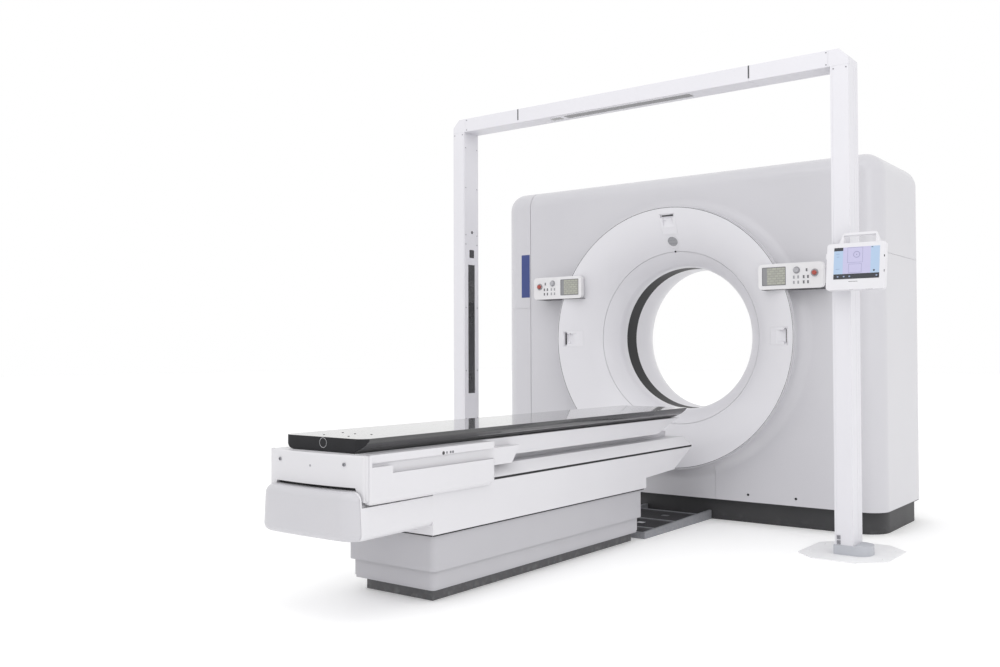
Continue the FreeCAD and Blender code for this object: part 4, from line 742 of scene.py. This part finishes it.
# Blue-grey paint on steel: satin and slightly uneven.
collar_paint = finish("collar_paint", "#bcbec4", "#b0b2b9", 80, 0.4, 0.06, 3, 0.02)
collars = []
for side in (-1, 1):
    collar = slab("foot_collar", (side * 1125, -824, 5), (side * 1288, -678, 50), 62, 12,
                  lambda e: along("z")(e) and abs(e.verts[0].co.x) > 1.287)
    carve(collar, block("post_hole", (side * POST_INNER, POST_FRONT, 0), (side * 1218, POST_BACK, 60)))
    round_edges(collar, 1.5, 2, lambda e: e.calc_face_angle(0) > 0.7)
    collars.append(collar)
collars = join("foot_collars_turned", collars)
take_over(collars, "foot_collars", collar_paint)
# White powder coat, dulled by floor dust along its edge.
plate_coat = finish("floor_plate_coat", "#f2f2f3", "#e8e8ea", 60, 0.5, 0.05, 3, 0.03)
plates = working_copy("foot_plates", "foot_plates_cut")
take_over(plates, "foot_plates", plate_coat)
clips = []
for side in (-1, 1):
    for level in (86, 62):
        clip = block("clip", (side * 1150 - 8, POST_FRONT - 4, level - 9),
                     (side * 1150 + 8, POST_FRONT + 0.5, level + 9))
        press(clip, lambda f: f.normal.y < -0.9, 4.5, (0, 3.5, 0))
        round_edges(clip, 1, 2, along("y"))
        clips.append(clip)
fit(join("foot_clips", clips), zinc, "installation")

# ------------------------------------------------------------
# Tablet. A tablet computer in a moulded white case with a carrying handle, tilted on a
# bracket on the right post. Its screen shows a plain planning page.

coat(post_coat, "tablet_bracket")
# Moulded ABS and polycarbonate: clean white, satin, with a very fine grain.
case_abs = finish("tablet_moulding", "#dddce0", "#d6d5d9", 120, 0.34, 0.04, 2, 0.015)
# The tablet's pieces are modelled upright at its pivot, and this puts them in the tilted case.
tilt = Matrix.Translation((1.174, -0.853, 1.352)) @ Matrix.Rotation(math.radians(-8), 4, "X")
untilt = tilt.inverted()


def shift(obj, test, step_mm):
    """Moves the vertices that pass a test."""
    open_up(obj, "VERT")
    choose(obj, test, "verts")
    bpy.ops.transform.translate(value=Vector(step_mm) / 1000)
    close_up()


case = working_copy("tablet_case", "tablet_case_moulded")
shift(case, lambda v: 0.105 < (untilt @ v.co).z < 0.124, tilt.to_3x3() @ Vector((0, 0, -15)))
take_over(case, "tablet_case", case_abs)


def lit(name, colour, glow):
    """A lit part of the display: its colour under clear glass, and a little light of its own."""
    return finish(name, colour, colour, 30, 0.2, 0.03, 3, 0.002,
                  {"Emission Color": linear(colour), "Emission Strength": glow,
                   "Coat Weight": 0.4, "Coat Roughness": 0.06})


# The page's colours: lilac behind the pictures, sky blue beside them, dark bars with marks.
lilac = lit("display_lilac", "#b6b3d0", 0.06)
sky = lit("display_sky", "#a4b9d2", 0.06)
line_grey = lit("display_line", "#8f8fae", 0.08)
bar_dark = lit("display_bar", "#2d2f36", 0.02)
mark_pale = lit("display_mark", "#8b99b5", 0.08)

# The depth of the case's front face from the pivot.
CASE_FACE = -46
glass = slab("tablet_screen", (-8, CASE_FACE - 0.8, -62), (200, CASE_FACE + 1, 87.5), 2, 2, along("y"))
for across in (34, 54, 124, 160):
    cut(glass, (across, 0, 0), (1, 0, 0))
for level in (-38, 14, 72):
    cut(glass, (0, 0, level), (0, 0, 1))
wear(glass, lilac, sky, bar_dark, line_grey)
for face in glass.data.polygons:
    across, level = face.center.x * 1000, face.center.z * 1000
    face.material_index = (2 if level < -38 or (across < 34 and level > 72)
                           else 1 if across < 34 or across > 160 else 0)
fit(put(glass, tilt), None, "tablet")

signs = []
for low, high in (((54, 14), (124, 86)), ((60, -34), (120, 8))):
    border = block("page_frame", (low[0], CASE_FACE - 1.0, low[1]), (high[0], CASE_FACE, high[1]))
    open_up(border)
    choose(border, lambda f: abs(f.normal.y) > 0.9)
    bpy.ops.mesh.inset(thickness=0.0016)
    bpy.ops.mesh.bridge_edge_loops()
    close_up()
    wear(border, line_grey)
    signs.append(border)
circle = hoop("page_circle", 14, 1.2, (96, CASE_FACE - 0.9, 52), 40, 6)
squash(circle, lambda v: v.co.y > (CASE_FACE - 0.9) / 1000, (1, 0, 1), (0, CASE_FACE, 0))
wear(circle, line_grey)
signs.append(circle)
for across, level, wide, high, ink in (
        (176, -26, 8, 8, bar_dark), (10, 58, 16, 2.5, mark_pale), (10, 44, 12, 2.5, mark_pale),
        (10, -14, 18, 2.5, mark_pale), (12, -50, 8, 6, mark_pale), (40, -50, 8, 6, mark_pale),
        (66, -50, 8, 6, mark_pale), (188, -50, 8, 6, mark_pale), (166, 83, 8, 3, bar_dark),
        (96, 52, 5, 5, line_grey)):
    sign = slab("sign", (across - wide / 2, CASE_FACE - 1.1, level - high / 2),
                (across + wide / 2, CASE_FACE - 0.5, level + high / 2),
                min(wide, high) * 0.35, 2, along("y"))
    wear(sign, ink)
    signs.append(sign)
fit(put(join("tablet_page", signs), tilt), None, "tablet")

slits = [slab("slit", low, high, 0.5, 2)
         for low, high in (((62, CASE_FACE - 0.4, -75), (104, CASE_FACE + 1, -73)),
                           ((66, -44, -112.3), (84, -38, -111)), ((140, -44, -112.3), (172, -38, -111)),
                           ((220, CASE_FACE - 0.4, -36), (223, CASE_FACE + 1, -24)),
                           ((218.5, CASE_FACE - 0.4, 34), (223, CASE_FACE + 1, 44)))]
fit(put(join("tablet_slits", slits), tilt), black_lens, "tablet")
lug = slab("strap_lug", (-48, -45, 36), (-36, -28, 64), 4, 3)
fit(put(lug, tilt), case_abs, "tablet")

# ------------------------------------------------------------
# Table base. A painted steel plinth bolted down, two ground lift columns, and two skirts
# of moulded plastic that slide over each other and hide the columns.

# Grey powder coat on folded steel, scuffed at the floor.
table_plinth_paint = finish("table_plinth_paint", "#59595b", "#4e4e50", 150, 0.5, 0.05, 3, 0.06)
scuff(table_plinth_paint, "#8a8a8b", 45, 30, 0.4)
plinth = working_copy("table_plinth", "table_plinth_folded")
shift(plinth, lambda v: v.co.z > 0.044, (0, 0, 17))
take_over(plinth, "table_plinth", table_plinth_paint)

# Moulded skirts: the covers' enamel painted a shade greyer, as painted shade for the shadow under the
# table body, with a tone that drifts a little.
skirt_enamel_painted_shade = finish("skirt_enamel_painted_shade", "#b8b7bb", "#b1b0b5", 400, 0.36, 0.04, 4, 0.015)
for node, low, rise in (("lower_skirt", 45, 14), ("middle_skirt", 108, 17)):
    skirt = working_copy(node, node + "_moulded")
    shift(skirt, lambda v: v.co.z * 1000 < low + 1, (0, 0, rise))
    take_over(skirt, node, skirt_enamel_painted_shade)

# ------------------------------------------------------------
# Table body and foot cover. The body is a long moulded shell with the slide rails in its
# top. The foot cover closes its end in one bowed moulding, with a joint near each corner.

# The covers' enamel again, on a smoother moulding, painted lighter: painted light for the table's lit
# sides.
table_gloss = {"Coat Weight": 0.2, "Coat Roughness": 0.25}
table_enamel_painted_light = finish("table_enamel_painted_light", "#d9d8db", "#d3d2d6", 450, 0.34, 0.03, 5, 0.012, table_gloss)
coat(table_enamel_painted_light, "table_body", "carriage")
foot = block("foot_cover_bowed", (-260, -3113, 301), (260, -2680, 475))
for across in (-130, 0, 130):
    cut(foot, (across, 0, 0), (1, 0, 0))
squash(foot, lambda v: v.co.y > -2.7, (0.923, 1, 1))
squash(foot, lambda v: v.co.z > 0.47 and v.co.y < -3, (0.95, 1, 1))
shift(foot, lambda v: v.co.y < -3 and abs(v.co.x) < 0.01, (0, -10, 0))
shift(foot, lambda v: v.co.y < -3 and 0.1 < abs(v.co.x) < 0.14, (0, -7.5, 0))
round_edges(foot, 72, 10, lambda e: all(abs(v.co.x) > 0.24 and v.co.y < -3.1 for v in e.verts)
            and abs(e.verts[0].co.z - e.verts[1].co.z) > 0.1)
for level, radius in ((301, 30), (475, 32)):
    round_edges(foot, radius, 5, lambda e: all(abs(v.co.z * 1000 - level) < 0.5 for v in e.verts)
                and not all(v.co.y > -2.681 for v in e.verts) and e.calc_face_angle(0) > 1)
for side in (-1, 1):
    rebate = block("rebate", (side * 198, -3062, 419), (side * 275, -2600, 490))
    shift(rebate, lambda v: abs(v.co.x) < 0.22 and v.co.z < 0.42, (side * 34, 0, 0))
    carve(foot, rebate)
# The depth of the joint between the foot cover's body and its end cap.
CAP_JOINT = -3069
groove(foot, "y", CAP_JOINT, 2.5, 2, lambda c, n: abs(n.x) > 0.5 and abs(c.x) > 240)
# The end cap, beyond the joint, is painted a shade greyer than the body: painted shade for its end face,
# which is turned from the light.
foot_enamel_painted_shade = finish("foot_enamel_painted_shade", "#c6c5c9", "#c0bfc4", 450, 0.36, 0.03, 5, 0.012, table_gloss)
wear(foot, table_enamel_painted_light, foot_enamel_painted_shade)
for face in foot.data.polygons:
    face.material_index = int(face.center.y * 1000 < CAP_JOINT)
take_over(foot, "foot_cover", None)

# Strips of black rubber, put in the gaps as painted shade for the shadow there: under the body's edge over
# the skirt, one in each side groove, and one on the foot cover under the carriage cover.
black_rubber_painted_shade = finish("black_rubber_painted_shade", "#222224", "#2c2c2e", 30, 0.75, 0.05, 2, 0.05)
# The depth of the head end of the side grooves, and of the trays that hang beside them.
TRAY_HEAD = -2320
shade_lips = [slab("lip", (side * near, start, low), (side * far, end, high), 0.6, 2)
        for side in (-1, 1)
        for near, far, start, end, low, high in (
            (231.8, 239.2, -2672, -1052, 262.4, 268.2),
            (237.05, 238.8, TRAY_HEAD, -512, 440.2, 449.8))]
shade_lips.append(slab("lip", (-203, -3046, 466), (203, -3041, 485), 0.6, 2))
shade_lips.append(slab("lip", (-231, -2679, 262.4), (231, -2672, 268.2), 0.6, 2))
fit(join("body_shade_lips", shade_lips), black_rubber_painted_shade, "lift")

# ------------------------------------------------------------
# Carriage cover and trays. Enamelled mouldings: the cover wraps the sliding carriage's foot
# end, and a tray hangs on each side of it. Two screws and a key switch are on its face.

cover = working_copy("carriage_cover", "carriage_cover_wrap")
flatten(cover)
round_edges(cover, 12, 5, lambda e: along("z")(e) and abs(e.verts[0].co.x) > 0.2495
            and e.verts[0].co.y < -3.049 and e.calc_face_angle(0) > 1)
round_edges(cover, 8, 4, lambda e: all(v.co.z > 0.5995 and v.co.y < -3.037 for v in e.verts)
            and e.calc_face_angle(0) > 1
            and any(f.normal.z < 0.5 and f.normal.y < -0.2 for f in e.link_faces))
take_over(cover, "carriage_cover", table_enamel_painted_light)
cover_body = frame["nodes"]["carriage_cover"]["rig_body"]
face_screws = [button_screw("face_screw", (across, depth, 566), 7, (across * 0.0007, -1, 0))
               for across, depth in ((-185, -3062.5), (160, -3065.2))]
face_screws.append(button_screw("key_switch", (-8, -3072, 553), 4, (0, -1, 0)))
fit(join("carriage_face_screws", face_screws), zinc, cover_body)

# Each tray is a long pod with rounded lower corners, closed over its foot end. A deep pocket
# runs behind its lip, and a band above it carries the sensor and the printed signs.
# The height of the tray's lip.
LIP = 531
pod = block("tray", (241, -3047, 424), (266, TRAY_HEAD, LIP))
round_edges(pod, 44, 7, lambda e: along("x")(e) and e.verts[0].co.z < 0.5 and e.verts[0].co.y > -2.4)
round_edges(pod, 26, 6, lambda e: along("x")(e) and e.verts[0].co.z < 0.5 and e.verts[0].co.y < -3.0)
round_edges(pod, 20, 6, lambda e: all(v.co.x > 0.2655 for v in e.verts)
            and not all(v.co.z * 1000 > LIP - 0.5 for v in e.verts))
cut(pod, (245, 0, 0), (1, 0, 0))
cut(pod, (0, -2925, 0), (0, 1, 0))
cut(pod, (0, -3030, 0), (0, 1, 0))


def at_lip(face):
    """Whether a face is part of the tray's top, level with its lip."""
    return face.normal.z > 0.9 and abs(face.calc_center_median().z * 1000 - LIP) < 0.1


for test, rise in ((lambda c: c.x < 0.245, 69), (lambda c: c.x > 0.245 and -3.03 < c.y < -2.925, 27),
                   (lambda c: c.x > 0.245 and c.y < -3.03, 69)):
    press(pod, lambda f: at_lip(f) and test(f.calc_center_median()), 0, (0, 0, rise))
press(pod, at_lip, 4, (0, 0, -80))
groove(pod, "y", -3041, 2.5, 2, lambda c, n: c.x > 250 and n.x > 0.2)
round_edges(pod, 1.6, 3, lambda e: all(abs(v.co.z * 1000 - LIP) < 0.1 and v.co.x > 0.2455 for v in e.verts)
            and e.calc_face_angle(0) > 1)
# The outer face of the band.
BAND_FACE = 257
band = slab("band", (244, -3040, 569), (BAND_FACE, TRAY_HEAD, 600), 6, 4,
            lambda e: all(v.co.x > 0.2565 for v in e.verts) and not along("z")(e))
# A web carries the cover's corner down beside the pod.
web = block("web", (207, -3050, 436), (250, -3034, 486))
shift(web, lambda v: v.co.x < 0.208 and v.co.z < 0.437, (29, -1.5, 0))
shift(web, lambda v: v.co.x < 0.208 and v.co.z > 0.485 and v.co.y < -3.045, (0, -6.5, 0))
round_edges(web, 12, 5, lambda e: along("z")(e) and e.verts[0].co.x > 0.249 and e.verts[0].co.y < -3.04)
pod = join("side_tray", [pod, band, web])
twin = copy_to(pod, (0, 0, 0))
twin.scale.x = -1
settle()
open_up(twin, action="SELECT")
bpy.ops.mesh.remove_doubles(threshold=1e-6)
bpy.ops.mesh.normals_make_consistent(inside=False)
close_up()
trays = join("side_tray_pods", [pod, twin])
take_over(trays, "side_trays", table_enamel_painted_light)

tray_body = frame["nodes"]["side_trays"]["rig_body"]
marks = []
for side in (-1, 1):
    eye = slab("tray_sensor", (side * (BAND_FACE - 0.6), -2645, 571),
               (side * (BAND_FACE + 0.8), -2631, 585), 6.5, 5, along("x"))
    wear(eye, black_lens)
    marks.append(eye)
    for depth, wide in ((-2618, 7), (-2596, 9), (-2582, 9)):
        sign = slab("tray_sign", (side * (BAND_FACE - 0.6), depth - wide / 2, 574),
                    (side * (BAND_FACE + 0.4), depth + wide / 2, 583), 1.5, 2, along("x"))
        wear(sign, key_ink)
        marks.append(sign)
fit(join("tray_marks", marks), None, tray_body)

# ------------------------------------------------------------
# Tabletop. A foam core in a carbon-fibre skin under clear gloss lacquer, light enough for
# X-rays to pass. A ring is printed on its foot end, and small plugs close the strap holes.

# Carbon fibre under lacquer: deep grey, mirror-like at a low angle, with a faint twill.
# The tows are 2 mm wide, too fine to show, so the twill is drawn at 8 mm.
carbon_lacquer = finish("lacquered_carbon", "#2e2e31", "#27272a", 60, 0.26, 0.03, 5, 0.004,
                        {"Coat Weight": 1.0, "Coat Roughness": 0.04})
tree = carbon_lacquer.node_tree
place = add_node(tree, "ShaderNodeTexCoord").outputs["Object"]
turned = add_node(tree, "ShaderNodeMapping", {"Rotation": (0.0, 0.0, math.radians(45))},
                  {"Vector": place})
twill = add_node(tree, "ShaderNodeTexChecker", {"Scale": 125.0, "Color1": (0.86, 0.86, 0.86, 1.0)},
                 {"Vector": turned.outputs["Vector"]})
woven = add_node(tree, "ShaderNodeMix", {"data_type": "RGBA", "blend_type": "MULTIPLY", 0: 0.5},
                 {6: tree.nodes["tone"].outputs[2], 7: twill.outputs["Color"]})
tree.links.new(woven.outputs[2], tree.nodes["Principled BSDF"].inputs["Base Color"])
# The depth of the tabletop's foot end, and the height of its upper face.
TOP_END, TOP_LEVEL = -3024, 654
top = block("tabletop_skin", (-209.5, TOP_END, 601), (209.5, -500, TOP_LEVEL))
shift(top, lambda v: v.co.z < 0.602 and v.co.y > -0.501, (0, -94, 0))
cut(top, (0, 0, 630), (0, 0, 1))
squash(top, lambda v: v.co.z < 0.602, (0.8, 1, 1), (0, 0, 601))
round_edges(top, 16, 6, lambda e: along("y")(e) and e.verts[0].co.z < 0.64)
# The foot corners are turned to 40 mm in plan by five cuts each.
for side in (-1, 1):
    for degrees in (9, 27, 45, 63, 81):
        angle = math.radians(degrees)
        outward = Vector((side * math.sin(angle), -math.cos(angle), 0))
        cut(top, Vector((side * 169.5, TOP_END + 40, 0)) + outward * 40, outward,
            clear_outer=True, use_fill=True)
round_edges(top, 1.5, 2, lambda e: e.calc_face_angle(0) > 0.7)
# The end band is bare moulded carbon: the same black, but dull.
carbon_band = finish("moulded_carbon", "#2a2a2d", "#232325", 40, 0.55, 0.05, 3, 0.01,
                     {"Specular IOR Level": 0.2})
wear(top, carbon_lacquer, carbon_band)
for face in top.data.polygons:
    face.material_index = int(face.normal.y < -0.12)
take_over(top, "tabletop", None)

ring = hoop("foot_ring_mark", 18, 1.2, (8, TOP_END + 0.4, 633), 48, 6)
squash(ring, lambda v: v.co.y < (TOP_END + 0.4) / 1000, (1, 0.4, 1), (0, TOP_END + 0.4, 0))
# White screen ink: matt and slightly uneven.
white_ink = finish("white_ink", "#d5d5d8", "#c8c8cc", 6, 0.5, 0.05, 1, 0.01)
fit(ring, white_ink, "slider")

plugs = [button_screw("strap_plug", (across, depth, TOP_LEVEL + 0.2), 4, (0, 0, 1))
         for across, depth in ((-76, -2845), (4, -2858), (-65, -2952), (78, -2845), (67, -2952))]
fit(join("strap_plugs", plugs), black_oxide, "slider")

# ------------------------------------------------------------
# Pedals. A cast aluminium base on the floor holds three rubber-faced treads, with a
# printed sign on each.

# Grey paint on the casting, worn paler by shoes along the rim.
pedal_paint = finish("pedal_base_paint", "#8f9095", "#828388", 60, 0.48, 0.06, 3, 0.06)
scuff(pedal_paint, "#a2a2a5", 52, 18, 0.5)
coat(pedal_paint, "pedal_base")
# Moulded rubber: near black, dull, with dust in its grain.
tread_rubber = finish("tread_rubber", "#2a2a2d", "#343437", 25, 0.62, 0.08, 2, 0.15)
coat(tread_rubber, "pedal_1", "pedal_2", "pedal_3")
RIB_PITCH = 22
for number, low, high in ((1, -985, -870), (2, -850, -610), (3, -590, -310)):
    ribs = []
    for index in range(int((high - low - 40) / RIB_PITCH)):
        start = low + 20 + index * RIB_PITCH
        ribs.append(slab("rib", (-190, start, 30.4), (190, start + 8, 32.4), 1, 2,
                         lambda e: all(v.co.z > 0.032 for v in e.verts)))
    body = "pedal_" + {1: "one", 2: "two", 3: "three"}[number]
    fit(join(f"pedal_{number}_ribs", ribs), tread_rubber, body)
    middle = (low + high) / 2
    sign = slab(f"pedal_{number}_sign", (20, middle - 18, 32.2), (62, middle + 18, 33), 6, 3, along("z"))
    fit(sign, white_ink if number == 2 else key_ink, body)

# ------------------------------------------------------------
# Room. A plain pale floor under an even white sky, with a large soft light overhead and a
# smaller one on the right, and the camera where the photograph was taken from.

bpy.ops.mesh.primitive_plane_add(size=80, location=(0, 0, -0.0005))
floor = bpy.context.object
floor.name = "studio_floor"
# White studio paint, lit from all round; a trace of its own light keeps its far edge white.
floor_paint = finish("studio_floor_paint", "#fbfbfb", "#f9f9f9", 3000, 0.7, 0.02, 40, 0.01,
                     {"Emission Color": (1.0, 1.0, 1.0, 1.0), "Emission Strength": 0.12})
wear(floor, floor_paint)

world = bpy.data.worlds.new("studio_sky")
bpy.context.scene.world = world
world.use_nodes = True
world.node_tree.nodes["Background"].inputs["Color"].default_value = (1.0, 1.0, 1.0, 1.0)
world.node_tree.nodes["Background"].inputs["Strength"].default_value = 1.0
bpy.context.scene.view_settings.view_transform = "Standard"

for name, place, aim, size, power in (
        ("overhead_softbox", (0.8, -3.4, 5.2), (0.0, -0.6, 1.0), 3.5, 45),
        ("side_softbox", (4.2, -4.0, 2.6), (0.2, -2.2, 0.5), 2.0, 20)):
    bpy.ops.object.light_add(type="AREA", location=place)
    softbox = bpy.context.object
    softbox.name = name
    softbox.data.shape, softbox.data.size, softbox.data.energy = "SQUARE", size, power
    softbox.rotation_euler = (Vector(aim) - softbox.location).to_track_quat("-Z", "Y").to_euler()

bpy.ops.object.camera_add(location=(2.720, -5.509, 0.955))
camera = bpy.context.object
azimuth, pitch, roll = (math.radians(a) for a in (37.34, 1.19, -0.18))
forward = Vector((-math.sin(azimuth) * math.cos(pitch), math.cos(azimuth) * math.cos(pitch),
                  math.sin(pitch)))
level_right = Vector((math.cos(azimuth), math.sin(azimuth), 0))
level_up = level_right.cross(forward)
right = level_right * math.cos(roll) + level_up * math.sin(roll)
up = level_up * math.cos(roll) - level_right * math.sin(roll)
camera.rotation_euler = Matrix((right, up, -forward)).transposed().to_euler()
camera.data.sensor_width, camera.data.lens = 36, 35.55
bpy.context.scene.camera = camera
